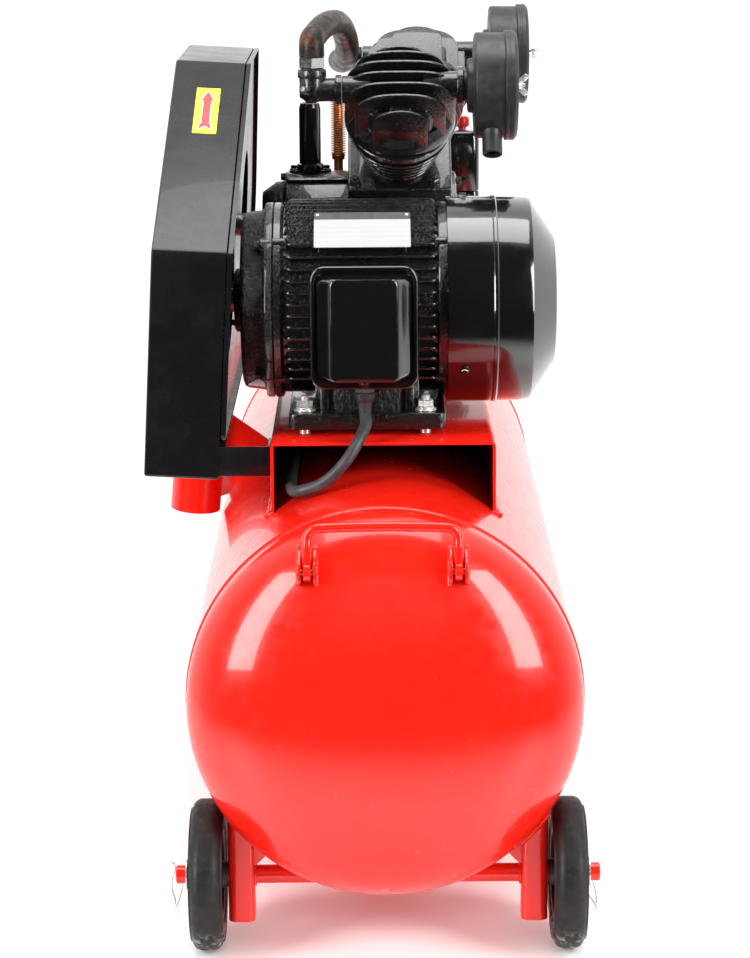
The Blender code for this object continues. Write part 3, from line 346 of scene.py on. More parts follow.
# ---------------------------------------------------------------- materials
class Shader:
    """A Principled material with layers of colour, roughness and bump on it."""

    def __init__(self, name, slot, colour, roughness, metallic=0.0, coat=0.0, specular=0.5):
        self.material = bpy.data.materials.new(name)
        self.material["slot"] = slot
        self.material.use_nodes = True
        self.nodes = self.material.node_tree.nodes
        self.links = self.material.node_tree.links
        self.shader = self.nodes["Principled BSDF"]
        self.shader.inputs["Base Color"].default_value = (*colour, 1.0)
        self.shader.inputs["Roughness"].default_value = roughness
        self.shader.inputs["Metallic"].default_value = metallic
        self.shader.inputs["Coat Weight"].default_value = coat
        self.shader.inputs["Coat Roughness"].default_value = 0.03
        self.shader.inputs["Specular IOR Level"].default_value = specular
        self.place = self.nodes.new("ShaderNodeTexCoord").outputs["Object"]
        self.colour = None
        self.base = (*colour, 1.0)
        self.normal = None

    def noise(self, scale, detail=3.0, roughness=0.55):
        tex = self.nodes.new("ShaderNodeTexNoise")
        tex.inputs["Scale"].default_value = scale
        tex.inputs["Detail"].default_value = detail
        tex.inputs["Roughness"].default_value = roughness
        self.links.new(self.place, tex.inputs["Vector"])
        return tex.outputs["Fac"]

    def range(self, value, low, high, out_low=0.0, out_high=1.0):
        node = self.nodes.new("ShaderNodeMapRange")
        for key, number in (("From Min", low), ("From Max", high),
                            ("To Min", out_low), ("To Max", out_high)):
            node.inputs[key].default_value = number
        self.links.new(value, node.inputs["Value"])
        return node.outputs["Result"]

    def distance(self, axis):
        """How far along an axis of the piece each point is."""
        split = self.nodes.new("ShaderNodeSeparateXYZ")
        self.links.new(self.place, split.inputs["Vector"])
        return split.outputs[axis]

    def along(self, axis, low, high):
        """0 to 1 between two places along an axis of the piece."""
        return self.range(self.distance(axis), low, high)

    def product(self, a, b):
        node = self.nodes.new("ShaderNodeMath")
        node.operation = "MULTIPLY"
        self.links.new(a, node.inputs[0])
        if isinstance(b, float):
            node.inputs[1].default_value = b
        else:
            self.links.new(b, node.inputs[1])
        return node.outputs[0]

    def tint(self, mask, colour):
        """Lay another colour over the one below where the mask is high."""
        mix = self.nodes.new("ShaderNodeMix")
        mix.data_type = "RGBA"
        self.links.new(mask, mix.inputs["Factor"])
        if self.colour is None:
            mix.inputs["A"].default_value = self.base
        else:
            self.links.new(self.colour, mix.inputs["A"])
        mix.inputs["B"].default_value = (*colour, 1.0)
        self.colour = mix.outputs["Result"]
        self.links.new(self.colour, self.shader.inputs["Base Color"])
        return self

    def rough(self, value, low, high, out_low, out_high):
        self.links.new(self.range(value, low, high, out_low, out_high),
                       self.shader.inputs["Roughness"])
        return self

    def bump(self, height, depth):
        """Raise the surface by up to depth metres."""
        node = self.nodes.new("ShaderNodeBump")
        node.inputs["Strength"].default_value = 1.0
        node.inputs["Distance"].default_value = depth
        self.links.new(height, node.inputs["Height"])
        if self.normal is not None:
            self.links.new(self.normal, node.inputs["Normal"])
        self.normal = node.outputs["Normal"]
        self.links.new(self.normal, self.shader.inputs["Normal"])
        return self


def red_enamel(name="red_enamel", channel=None):
    """Thick red gloss with orange peel, dust specks and run marks.

    A channel is given as half its width and its height: its inside is painted nearly black, as
    painted shade.
    """
    s = Shader(name, "red_paint", (0.82, 0.014, 0.006), 0.24, coat=0.45, specular=0.30)
    s.tint(s.range(s.noise(7.0, 4.0), 0.42, 0.75, 0.0, 0.45), (0.70, 0.008, 0.005))
    if channel:
        half, top = channel
        # Painted shade: inside the channel's walls and under its roof the red is tinted nearly
        # black.
        across = s.nodes.new("ShaderNodeMath")
        across.operation = "ABSOLUTE"
        s.links.new(s.distance("X"), across.inputs[0])
        shade_across = s.range(across.outputs[0], half + 0.0005, half + 0.0001)
        s.tint(s.product(shade_across, s.along("Z", top + 0.0005, top + 0.0001)),
               (0.030, 0.003, 0.003))
    else:
        s.tint(s.range(s.noise(900.0, 2.0), 0.74, 0.80, 0.0, 0.5), (0.55, 0.02, 0.015))
    s.rough(s.noise(60.0, 4.0), 0.35, 0.75, 0.16, 0.30)
    s.bump(s.noise(230.0, 2.0), 0.00005)
    return s.bump(s.noise(38.0, 2.0), 0.00012).material


def black_gloss():
    """Black gloss on pressed sheet: deep, slightly wavy, with dust."""
    s = Shader("black_gloss", "black_paint", (0.0040, 0.0040, 0.0044), 0.16, coat=1.0)
    s.tint(s.range(s.noise(500.0, 4.0), 0.66, 0.78, 0.0, 0.5), (0.018, 0.018, 0.019))
    s.rough(s.noise(45.0, 5.0), 0.35, 0.75, 0.10, 0.24)
    s.bump(s.noise(260.0, 2.0), 0.00005)
    return s.bump(s.noise(30.0, 2.0), 0.00016).material


def black_casting(name="black_casting", height=0.00045):
    """Black gloss flooded over a sand casting, with pits and lumps."""
    s = Shader(name, "cast_black", (0.0040, 0.0040, 0.0043), 0.16, coat=0.8)
    s.tint(s.range(s.noise(350.0, 5.0), 0.60, 0.78, 0.0, 0.6), (0.018, 0.017, 0.017))
    s.rough(s.noise(120.0, 5.0), 0.35, 0.72, 0.10, 0.32)
    s.bump(s.range(s.noise(300.0, 4.0, 0.6), 0.35, 0.75), height)
    return s.bump(s.noise(80.0, 3.0), height * 1.5).material


def guard_coat():
    """Satin black powder coat with a fine texture and handling marks."""
    s = Shader("guard_coat", "sheet_black", (0.0050, 0.0050, 0.0058), 0.26, coat=0.15,
               specular=0.30)
    s.tint(s.range(s.noise(14.0, 6.0, 0.65), 0.50, 0.80, 0.0, 0.6), (0.012, 0.0115, 0.012))
    s.tint(s.range(s.noise(600.0, 3.0), 0.72, 0.78, 0.0, 0.5), (0.045, 0.045, 0.045))
    s.rough(s.noise(25.0, 6.0, 0.65), 0.35, 0.75, 0.20, 0.36)
    s.bump(s.noise(700.0, 2.0), 0.00004)
    return s.bump(s.noise(12.0, 2.0), 0.00030).material


def moulded(name, slot, colour, roughness=0.48):
    """Moulded plastic with spark-eroded grain."""
    s = Shader(name, slot, colour, roughness)
    lighter = tuple(min(1.0, c * 2.1 + 0.01) for c in colour)
    s.tint(s.range(s.noise(40.0, 6.0, 0.6), 0.48, 0.82, 0.0, 0.55), lighter)
    s.rough(s.noise(90.0, 4.0), 0.35, 0.75, roughness - 0.10, roughness + 0.12)
    s.bump(s.noise(1400.0, 2.0), 0.00004)
    return s.bump(s.noise(60.0, 2.0), 0.00008).material


def metal(name, slot, colour, roughness, dark, scale=220.0, metallic=1.0):
    """Bare or plated metal with stains and fine scratches."""
    s = Shader(name, slot, colour, roughness, metallic=metallic)
    s.tint(s.range(s.noise(scale, 5.0, 0.6), 0.45, 0.72, 0.0, 0.75), dark)
    s.rough(s.noise(scale * 2.2, 4.0), 0.3, 0.75, roughness * 0.65, roughness * 1.5)
    return s.bump(s.noise(scale * 5.0, 3.0), 0.00003).material


def tyre_rubber():
    """Solid rubber with mould grain, grey dust low on the tread and white scuffs."""
    s = Shader("tyre_rubber", "tyre_rubber", (0.005, 0.005, 0.0055), 0.50, specular=0.35)
    s.tint(s.range(s.noise(45.0, 6.0, 0.62), 0.50, 0.78, 0.0, 0.6), (0.022, 0.021, 0.021))
    low = s.along("Z", -0.040, -0.078)
    patches = s.range(s.noise(95.0, 6.0, 0.7), 0.52, 0.60)
    s.tint(s.product(s.product(low, patches), 0.85), (0.52, 0.50, 0.47))
    s.rough(s.noise(70.0, 5.0), 0.35, 0.75, 0.42, 0.72)
    s.bump(s.noise(1100.0, 3.0), 0.00006)
    return s.bump(s.range(s.noise(95.0, 6.0, 0.7), 0.52, 0.60), 0.00012).material


def cable_rubber():
    """Dark grey cable sheath with rub marks along it."""
    s = Shader("cable_rubber", "cable_rubber", (0.030, 0.031, 0.033), 0.50)
    s.tint(s.range(s.noise(60.0, 5.0, 0.6), 0.48, 0.78, 0.0, 0.7), (0.085, 0.085, 0.085))
    s.rough(s.noise(120.0, 4.0), 0.35, 0.75, 0.38, 0.62)
    s.bump(s.noise(900.0, 2.0), 0.00004)
    return s.bump(s.noise(140.0, 2.0), 0.00010).material


def heated_pipe():
    """Black pipe burnt brown by the heat of compression, most at its crown."""
    s = Shader("heated_pipe", "heat_stained_steel", (0.010, 0.0085, 0.008), 0.40, specular=0.25)
    crown = s.along("Z", 0.95, 1.01)
    brown = s.range(s.noise(48.0, 6.0, 0.7), 0.46, 0.64)
    s.tint(s.product(s.product(crown, brown), 0.8), (0.16, 0.062, 0.028))
    s.tint(s.range(s.noise(160.0, 5.0, 0.7), 0.62, 0.74, 0.0, 0.45), (0.050, 0.040, 0.035))
    s.rough(s.noise(90.0, 6.0), 0.35, 0.72, 0.28, 0.55)
    s.bump(s.noise(500.0, 4.0), 0.00010)
    return s.bump(s.noise(70.0, 3.0), 0.00030).material


def plate_face():
    """Bright printed plate: a solid dark header over faint ruled rows."""
    s = Shader("plate_face", "zinc", (0.36, 0.36, 0.355), 0.50)
    rows = s.nodes.new("ShaderNodeTexWave")
    rows.bands_direction = "Y"
    rows.inputs["Scale"].default_value = 42.0
    s.links.new(s.place, rows.inputs["Vector"])
    s.tint(s.range(rows.outputs["Fac"], 0.93, 0.98, 0.0, 0.5), (0.30, 0.30, 0.30))
    s.tint(s.along("Y", 0.0158, 0.0162), (0.015, 0.015, 0.016))
    s.rough(s.noise(150.0, 4.0), 0.35, 0.75, 0.42, 0.60)
    return s.bump(s.noise(500.0, 2.0), 0.00003).material


def printed(name, colour):
    """Printed vinyl, a little scuffed."""
    s = Shader(name, "sheet_black", colour, 0.34, coat=0.3)
    s.tint(s.range(s.noise(160.0, 5.0), 0.58, 0.80, 0.0, 0.35), tuple(c * 0.7 for c in colour))
    s.rough(s.noise(200.0, 4.0), 0.35, 0.75, 0.26, 0.46)
    return s.bump(s.noise(600.0, 2.0), 0.00002).material


RED = red_enamel()
BLACK = black_gloss()
CAST = black_casting()
ROUGH_CAST = black_casting("rough_black_casting", 0.0017)
GUARD = guard_coat()
FILTER = moulded("filter_plastic", "grey_plastic", (0.015, 0.0155, 0.017), 0.44)
HUB = moulded("hub_plastic", "hub_plastic", (0.022, 0.022, 0.024), 0.46)
RED_PLASTIC = moulded("red_plastic", "red_plastic", (0.62, 0.012, 0.01), 0.30)
ZINC = metal("zinc_plate", "zinc", (0.80, 0.80, 0.78), 0.26, (0.50, 0.49, 0.46), metallic=0.6)
STEEL = metal("machined_steel", "steel", (0.48, 0.48, 0.48), 0.30, (0.22, 0.19, 0.17))
BRASS = metal("brass", "brass", (0.74, 0.52, 0.22), 0.28, (0.42, 0.27, 0.10))
COPPER = metal("bare_copper", "copper", (0.90, 0.33, 0.11), 0.32, (0.60, 0.17, 0.05), scale=120.0,
               metallic=0.8)
ALLOY = metal("piston_alloy", "piston_alloy", (0.72, 0.72, 0.73), 0.30, (0.45, 0.45, 0.46))
TYRE = tyre_rubber()
CABLE = cable_rubber()
BURNT = heated_pipe()


# ------------------------------------------------------ receiver and running gear
DISH_FLANGE = 0.020
DISH_DEPTH = size("tank_shell").y / 2 - TANK_LENGTH / 2 - DISH_FLANGE


def dish(radius, depth, count=40):
    """Quarter ellipse from the rim to the pole, as (radius, distance out)."""
    quarter = [math.pi / 2 * k / (count - 1) for k in range(count)]
    return [(radius * math.cos(a), DISH_FLANGE + depth * math.sin(a)) for a in quarter]


def rise(x):
    """Height of the receiver's skin over its axis, at a distance to the side."""
    return math.sqrt(TANK_R ** 2 - x ** 2)


def dish_y(x, z, lift=0.0):
    """How far forward the front dished end is."""
    reach = min(0.999, math.hypot(x, z - TANK_Z) / TANK_R)
    return -DISH_FLANGE - (DISH_DEPTH + lift) * math.sqrt(1 - reach ** 2)


def receiver():
    """Rolled shell between two dished ends, each lapped into it with a ring weld."""
    lap = 0.0007
    outer = [(r, -t) for r, t in reversed(dish(TANK_R - lap, DISH_DEPTH))]
    outer += [(TANK_R - lap, -0.004), (TANK_R, -0.003), (TANK_R, TANK_LENGTH + 0.003),
              (TANK_R - lap, TANK_LENGTH + 0.004)]
    outer += [(r, TANK_LENGTH + t) for r, t in dish(TANK_R - lap, DISH_DEPTH)]
    skin = turned(outer, "Y", 144)
    beads = []
    for seam in (0.0, TANK_LENGTH):
        loop = [Vector((math.sin(TURN * k / 120) * TANK_R, seam,
                        math.cos(TURN * k / 120) * TANK_R)) for k in range(121)]
        beads.append(weld(loop, 0.0013, 0.004))
    side = math.radians(205)
    seam_line = [Vector((math.sin(side) * TANK_R, y, math.cos(side) * TANK_R))
                 for y in (0.0, 0.3, 0.6, 0.9, TANK_LENGTH)]
    beads.append(weld(seam_line, 0.0014, 0.004))
    piece("receiver", together(skin, *beads), RED, place=at(0, 0, TANK_Z),
          stands_for=["tank_shell"], sharp=24)


AXLE_SHIFT = 0.002
AXLE_Z = middle("tyre_front_left").z
AXLE_R = 0.0105
AXLE_HALF = 0.240
LEG_X = 0.1655
LEG_HALF_W = 0.015
LEG_HALF_D = 0.020
LEG_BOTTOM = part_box("leg_front_left")[0].z
WHEEL_X = 0.2035
PIN_X = 0.2300
ENDS = {"front": 0.0, "rear": TANK_LENGTH}
SIDES = {"left": -1, "right": 1}


def rounded_tube(half_a, half_b, wall, low, high, radius):
    """Upright rectangular tube, open at both ends."""
    outer = rounded(half_a, half_b, radius, 5)
    inner = rounded(half_a - wall, half_b - wall, max(0.002, radius - wall), 5)
    bm = bmesh.new()
    loops = []
    for outline, z in ((outer, low), (outer, high), (inner, high), (inner, low)):
        loops.append([bm.verts.new((a, b, z)) for a, b in outline])
    return skinned(bm, loops, looped=True)


def split_pin(sign):
    """Spring clip hanging through the axle, with its ring at the bottom."""
    wire = 0.0011
    straight = [(0.0, 0.0, 0.013), (0.0, 0.0, 0.0), (0.0, 0.0, -0.020), (0.001, 0.0, -0.030),
                (0.004, 0.001, -0.0385), (0.002, 0.003, -0.0450), (-0.004, 0.004, -0.0440),
                (-0.006, 0.005, -0.0380), (-0.002, 0.007, -0.0310), (0.001, 0.011, -0.0220),
                (0.001, 0.0135, -0.0100), (0.001, 0.0125, 0.0), (0.001, 0.0140, 0.0070),
                (0.001, 0.0180, 0.0100)]
    route = [Vector((x * sign, y, z)) for x, y, z in straight]
    return swept(route, wire, sides=10, spacing=0.0016)


def leg(end, side):
    """Open rounded tube with a flared gusset, its weld beads and the stub axle."""
    sign = SIDES[side]
    x = sign * LEG_X
    top = TANK_Z - rise(abs(x) - LEG_HALF_W) + 0.004
    tube = rounded_tube(LEG_HALF_W, LEG_HALF_D, 0.003, LEG_BOTTOM, top, 0.009)
    for vert in tube.verts:
        if vert.co.z > top - 1e-6:
            across = x + vert.co.x
            vert.co.z = TANK_Z - rise(across) + 0.003
    flare = fillet([(0.011, 0.094), (0.030, 0.113), (0.036, 0.140), (0.011, 0.140)], 0.006)
    gusset = softened(prism([(-sign * a, b) for a, b in flare], -0.0115, 0.0115, "Y"), 0.001)
    stub = rod(AXLE_R, sign * 0.072 - x, sign * AXLE_HALF - x, "X", 32, 0.0015)
    moved(stub, (0, 0, AXLE_Z))
    parts = [tube, gusset, stub]
    for edge in (-1, 1):
        points = []
        for k in range(6):
            across = -LEG_HALF_W + 2 * LEG_HALF_W * k / 5
            height = TANK_Z - rise(x + across)
            points.append((across, edge * (LEG_HALF_D - 0.0005), height - 0.0005))
        parts.append(weld(points, 0.0032))
    for edge in (-1, 1):
        collar = ring(AXLE_R + 0.001, 0.0022, "X", 24, 8)
        parts.append(moved(collar, (edge * (LEG_HALF_W + 0.0004), 0, AXLE_Z)))
    name = f"leg_{end}_{side}"
    place = at(x + AXLE_SHIFT, ENDS[end], 0)
    piece(name + "_tube", together(*parts), RED, place=place, stands_for=[name], sharp=40)
    pin_place = at(sign * PIN_X + AXLE_SHIFT, ENDS[end], AXLE_Z)
    pin = moved(split_pin(sign), turn=(math.radians(-14 * sign), 0, math.radians(90 + 12 * sign)))
    piece(f"split_pin_{end}_{side}", pin, ZINC, place=pin_place, sharp=60)


def wheel(end, side):
    """Solid tyre with stepped sidewalls on a dished, ribbed plastic hub."""
    sign = SIDES[side]
    node = f"tyre_{end}_{side}"
    radius = size(node).z / 2
    half = size(node).x / 2
    hub_r = 0.0515
    shoulder = [(hub_r, half - 0.0030), (0.0560, half - 0.0025), (0.0570, half - 0.0008),
                (0.0640, half - 0.0004), (0.0720, half), (0.0752, half - 0.0003),
                (0.0760, half - 0.0022), (0.0785, half - 0.0030), (0.0800, half - 0.0036),
                (0.0832, half - 0.0062), (radius - 0.0005, half - 0.0100), (radius, half - 0.0125)]
    profile = [(r, -t) for r, t in shoulder] + [(r, t) for r, t in reversed(shoulder)]
    body = f"wheel_{end}_{side}"
    place = at(sign * WHEEL_X + AXLE_SHIFT, ENDS[end], AXLE_Z)
    piece(node + "_rubber", turned(profile, "X", 112, closed=True), TYRE, body, place, [node], 28)
    bore = AXLE_R + 0.0006
    low, high = sorted((-sign * (WHEEL_X - LEG_X - LEG_HALF_W - 0.001), sign * 0.0235))
    boss = turned([(bore, low), (0.0140, low), (0.0150, low + 0.001), (0.0160, -0.009),
                   (0.0160, 0.009), (0.0150, high - 0.001), (0.0140, high), (bore, high)],
                  "X", 56, closed=True)
    rim_in, rim_out = hub_r - 0.006, hub_r
    rim = turned([(rim_in, -0.0155), (rim_in + 0.001, -0.0165), (rim_out, -0.0165),
                  (rim_out, 0.0165), (rim_in + 0.001, 0.0165), (rim_in, 0.0155)],
                 "X", 96, closed=True)
    web = turned([(0.0145, -0.0020), (rim_in + 0.0005, -0.0020), (rim_in + 0.0005, 0.0020),
                  (0.0145, 0.0020)], "X", 96, closed=True)
    parts = [boss, rim, web]
    parts += spread(6, (-0.0120, -0.0018, 0.0150), (0.0120, 0.0018, rim_in + 0.001), 0.0006)
    for face in (-1, 1):
        groove = ring(0.0300, 0.0012, "X", 72, 8)
        parts.append(moved(groove, (face * 0.0021, 0, 0)))
    piece(f"wheel_hub_{end}_{side}_moulding", together(*parts), HUB, body, place,
          [f"wheel_hub_{end}_{side}"], 30)
    washer = turned([(bore, -0.0007), (0.0170, -0.0007), (0.0170, 0.0007), (bore, 0.0007)],
                    "X", 40, closed=True)
    washer_place = at(sign * (PIN_X - 0.0020) + AXLE_SHIFT, ENDS[end], AXLE_Z)
    piece(f"axle_washer_{end}_{side}", washer, ZINC, place=washer_place)


HANDLE_X = -0.002
HANDLE_Y = -0.0870
HANDLE_Z = 0.4620
HANDLE_HALF = 0.0815
HANDLE_RISE = 0.0475


def carrying_handle():
    """Bent round bar whose flattened eyes turn on the two lug pins."""
    side, top, corner = HANDLE_HALF, HANDLE_RISE, 0.013
    half = [(side, 0.0, 0.003), (side, 0.001, top * 0.35), (side, 0.002, top * 0.62)]
    for k in range(5):
        angle = math.pi / 2 * k / 4
        half.append((side - corner * (1 - math.cos(angle)), 0.004,
                     top - corner * (1 - math.sin(angle))))
    half.append((side * 0.5, 0.004, top + 0.0010))
    route = [(-a, b, c) for a, b, c in half] + [(0, 0.004, top + 0.0016)]
    route += [(a, b, c) for a, b, c in reversed(half)]
    bar = swept(route, 0.0054, sides=24, spacing=0.0030)
    eyes = []
    for sign in (-1, 1):
        eye = turned([(0.0042, -0.0040), (0.0094, -0.0040), (0.0102, -0.0032), (0.0102, 0.0032),
                      (0.0094, 0.0040), (0.0042, 0.0040)], "X", 40, closed=True)
        eyes.append(moved(eye, (sign * side, 0, 0)))
    piece("carrying_handle", together(bar, *eyes), RED, "handle_bail",
          at(HANDLE_X, HANDLE_Y, HANDLE_Z), ["handle"], 40)


def handle_lug(side):
    """Two rounded ears on the dished end, their weld and the riveted pin."""
    sign = SIDES[side]
    x = HANDLE_X + sign * HANDLE_HALF
    ear = fillet([(0.034, 0.022), (0.012, 0.022), (-0.0095, 0.009), (-0.0095, -0.011),
                  (0.010, -0.018), (0.034, -0.018)], [0, 0.006, 0.010, 0.009, 0.006, 0])
    parts = []
    for edge in (-1, 1):
        low, high = sorted((edge * 0.0067, edge * 0.0098))
        parts.append(softened(prism(ear, low, high, "X"), 0.0008))
        foot = [Vector((edge * 0.0100, dish_y(x + edge * 0.0100, HANDLE_Z + dz, 0.0005)
                        - HANDLE_Y, dz)) for dz in (0.020, 0.012, 0.004, -0.004, -0.012, -0.017)]
        parts.append(weld(foot, 0.0026))
        head = turned([(0, 0.0125), (0.0022, 0.0122), (0.0042, 0.0110), (0.0050, 0.0095),
                       (0.0050, 0.0085), (0, 0.0085)], "X", 28)
        parts.append(head if edge > 0 else moved(head, turn=(0, 0, math.pi)))
    parts.append(rod(0.0037, -0.0100, 0.0100, "X", 28))
    base = softened(slab((-0.0098, 0.0125, -0.0165), (0.0098, 0.034, 0.0205)), 0.001)
    parts.append(base)
    bm = together(*parts)
    for vert in bm.verts:
        place = vert.co + Vector((x, HANDLE_Y, HANDLE_Z))
        vert.co.y -= max(0.0, place.y - (dish_y(place.x, place.z) + 0.003))
    piece(f"handle_lug_{side}_forging", bm, RED, place=at(x, HANDLE_Y, HANDLE_Z),
          stands_for=[f"handle_lug_{side}"], sharp=40)


BRIDGE_HALF = size("motor_bridge").x / 2
BRIDGE_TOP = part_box("motor_bridge")[1].z
BRIDGE_T = 0.004
BRIDGE_Y = (0.1345, 0.760)


def bridge():
    """Folded plate channel with rounded bends, welded down both sides; its inside and a plate
    closing its rear end are painted dark as shade.
    """
    half, top, t = BRIDGE_HALF, BRIDGE_TOP, BRIDGE_T
    foot = TANK_Z + rise(half) - 0.002
    outer = [(-half, foot), (-half, top), (half, top), (half, foot)]
    inner = [(half - t, foot + 0.001), (half - t, top - t), (-half + t, top - t),
             (-half + t, foot + 0.001)]
    outline = fillet(outer + inner, [0, 0.008, 0.008, 0, 0, 0.004, 0.004, 0], 6)
    sheet = softened(prism(outline, *BRIDGE_Y, "Y"), 0.0006, angle=50)
    parts = [sheet]
    for sign in (-1, 1):
        count = 5
        span = (BRIDGE_Y[1] - BRIDGE_Y[0]) / count
        for k in range(count):
            start = BRIDGE_Y[0] + span * k + (0.0 if k == 0 else 0.020)
            stop = start + span - 0.045
            line = [(sign * (half + 0.0012), start + (stop - start) * i / 6, foot + 0.003)
                    for i in range(7)]
            parts.append(weld(line, 0.0036, 0.0018))
        corner = [(sign * (half - t), BRIDGE_Y[0] - 0.0005, foot + 0.003),
                  (sign * (half + 0.001), BRIDGE_Y[0] - 0.001, foot + 0.002),
                  (sign * (half + 0.0055), BRIDGE_Y[0] + 0.002, foot - 0.0015)]
        parts.append(weld(corner, 0.0034))
    # A plate closing the channel's rear end, a dark sheet put in the tunnel as painted shade; it
    # lies inside the walls and under the roof, so it takes the channel's painted-shade tint.
    wall = half - t
    xs = [-wall + 2 * wall * k / 16 for k in range(17)]
    shade_plate = [(x, TANK_Z + rise(x) - 0.001) for x in xs]
    shade_plate += [(wall, top - t + 0.001), (-wall, top - t + 0.001)]
    parts.append(prism(shade_plate, BRIDGE_Y[1] - 0.009, BRIDGE_Y[1] - 0.004, "Y"))
    # The enamel paints the channel's inside nearly black: painted shade.
    paint = red_enamel("bridge_enamel_painted_shade", (half - t, top - t))
    piece("bridge_channel", together(*parts), paint, place=at(0, 0, 0),
          stands_for=["motor_bridge"], sharp=40)


# ------------------------------------------------------------------- belt guard
GUARD_LEAN = math.radians(3.2)
GUARD_BOTTOM = 0.5135
GUARD_X = -0.2325
GUARD_HALF = 0.0425
GUARD_T = 0.0015
GUARD_OUTLINE = [(0.140, 0.0), (0.815, 0.0), (0.838, 0.040), (0.838, 0.250),
                 (0.722, 0.449), (0.470, 0.449), (0.140, 0.262)]
GUARD_CORNERS = [0.004, 0.010, 0.010, 0.010, 0.010, 0.010, 0.012]
PLATE_RISE = 0.0465
MOTOR_Y = 0.280
MOTOR_Z = 0.697
PUMP_Y = 0.580
PUMP_Z = 0.745
MOTOR_AT = at(0, MOTOR_Y, MOTOR_Z)
PUMP_AT = at(0, PUMP_Y, PUMP_Z)


def inset(outline, distance):
    """Move each edge of a counter-clockwise outline inwards."""
    count = len(outline)
    result = []
    for i in range(count):
        a, b, c = (Vector(outline[(i + k) % count]) for k in (-1, 0, 1))
        d1 = (b - a).normalized()
        d2 = (c - b).normalized()
        bisector = (Vector((-d1.y, d1.x)) + Vector((-d2.y, d2.x))).normalized()
        shift = distance / max(0.5, bisector.dot(Vector((-d1.y, d1.x))))
        result.append(tuple(b + bisector * shift))
    return result


def tray(outline, levels):
    """Sheet pressing: a flat face with a turned rim, given as (x, inset) levels."""
    bm = bmesh.new()
    rings = []
    for x, shrink in levels:
        shape = inset(outline, shrink) if shrink else outline
        rings.append([bm.verts.new((x, a, b)) for a, b in shape])
    return skinned(bm, rings)


def leaned(bm):
    return moved(bm, turn=(0, GUARD_LEAN, 0))


def guard_cover():
    """Pressed cover: outer face and rim in one sheet with a folded edge radius."""
    outline = fillet(GUARD_OUTLINE, GUARD_CORNERS, 4)
    half, t, bend = GUARD_HALF, GUARD_T, 0.003
    outer = [(-half, bend)]
    for k in range(1, 4):
        angle = math.pi / 2 * k / 3
        outer.append((-half + bend * (1 - math.cos(angle)), bend * (1 - math.sin(angle))))
    outer += [(half, 0.0), (half, t)]
    inner = [(-half + bend, t), (-half + t, bend + t)]
    parts = [tray(outline, outer + inner)]
    for y, z in ((0.20, 0.022), (0.46, 0.020), (0.74, 0.022), (0.815, 0.235), (0.60, 0.430)):
        screw = turned([(0, -0.0022), (0.0030, -0.0021), (0.0046, -0.0012), (0.0050, 0.0),
                        (0, 0.0)], "X", 24)
        parts.append(moved(screw, (-half, y, z)))
    strap = prism(fillet([(0.0325, 0.1404), (0.1029, 0.1404), (0.1029, 0.1900), (0.0999, 0.1900),
                          (0.0999, 0.1434), (0.0325, 0.1434)], [0, 0.003, 0, 0, 0.001, 0], 4),
                  0.0020, 0.0365, "Z")
    whole = together(leaned(together(*parts)), softened(strap, 0.0005, angle=50))
    piece("belt_guard_cover", whole, GUARD, place=at(GUARD_X, 0, GUARD_BOTTOM),
          stands_for=["guard_cover"], sharp=28)


def guard_plate():
    """Back sheet with a returned lip and round openings for the two shafts."""
    outline = [(y, max(z, PLATE_RISE)) for y, z in GUARD_OUTLINE if z != 0.040]
    outline = fillet(outline, 0.008, 4)
    face = GUARD_HALF + 0.0003
    depth, t, bend = 0.007, GUARD_T, 0.0018
    levels = [(face, bend), (face + bend, 0.0), (face + depth, 0.0), (face + depth, t),
              (face + bend, t), (face + t, bend + t)]
    sheet = leaned(tray(outline, levels))
    for y, z, radius in ((MOTOR_Y, MOTOR_Z, 0.062), (PUMP_Y, PUMP_Z, 0.095)):
        opening = rod(radius, -0.05, 0.12, "X", 72)
        sheet = cut(sheet, moved(opening, (0, y, z - GUARD_BOTTOM)))
    piece("belt_guard_plate", sheet, GUARD, place=at(GUARD_X, 0, GUARD_BOTTOM),
          stands_for=["guard_plate"], sharp=28)


SLOPE_LOW = Vector((0.140, 0.262))
SLOPE_HIGH = Vector((0.470, 0.449))
STICKER_X = 0.0019
STICKER_ALONG = (0.2287, 0.3221)


def on_slope(across, along, lift=0.0):
    """Place on the guard's slanted front, before it leans: x, then along the slope."""
    run = (SLOPE_HIGH - SLOPE_LOW).normalized()
    point = SLOPE_LOW + run * along
    out = Vector((-run.y, run.x)) * lift
    return Vector((across, point.x + out.x, point.y + out.y))


def sticker():
    """Plain turning-direction sign: an arrow on a bright ground."""
    def flat(outline, low, high):
        bm = bmesh.new()
        rings = [[bm.verts.new(on_slope(a, b, lift)) for a, b in outline]
                 for lift in (low, high)]
        return leaned(skinned(bm, rings))

    low, high = STICKER_ALONG
    middle_x = STICKER_X
    half = 0.0143
    card = [(middle_x - half, low), (middle_x + half, low), (middle_x + half, high),
            (middle_x - half, high)]
    place = at(GUARD_X, 0, GUARD_BOTTOM)
    piece("direction_label_ground", flat(fillet(card, 0.001, 3), 0.0000, 0.0003),
          printed("yellow_print", (0.86, 0.80, 0.02)), place=place)
    length = high - low
    arrow = [(-0.0070, 0.10), (0.0, 0.16), (0.0070, 0.10), (0.0070, 0.16), (0.0046, 0.24),
             (0.0046, 0.72), (0.0078, 0.72), (0.0, 0.92), (-0.0078, 0.72), (-0.0046, 0.72),
             (-0.0046, 0.24), (-0.0070, 0.16)]
    points = [(middle_x + a, low + b * length) for a, b in arrow]
    halo = [(middle_x + a * 1.22, low + (0.5 + (b - 0.5) * 1.05) * length) for a, b in arrow]
    piece("direction_label_edge", flat(halo, 0.0003, 0.0004),
          printed("white_print", (0.85, 0.84, 0.80)), place=place)
    piece("direction_label_arrow", flat(points, 0.0004, 0.0005),
          printed("red_print", (0.70, 0.04, 0.035)), place=place)


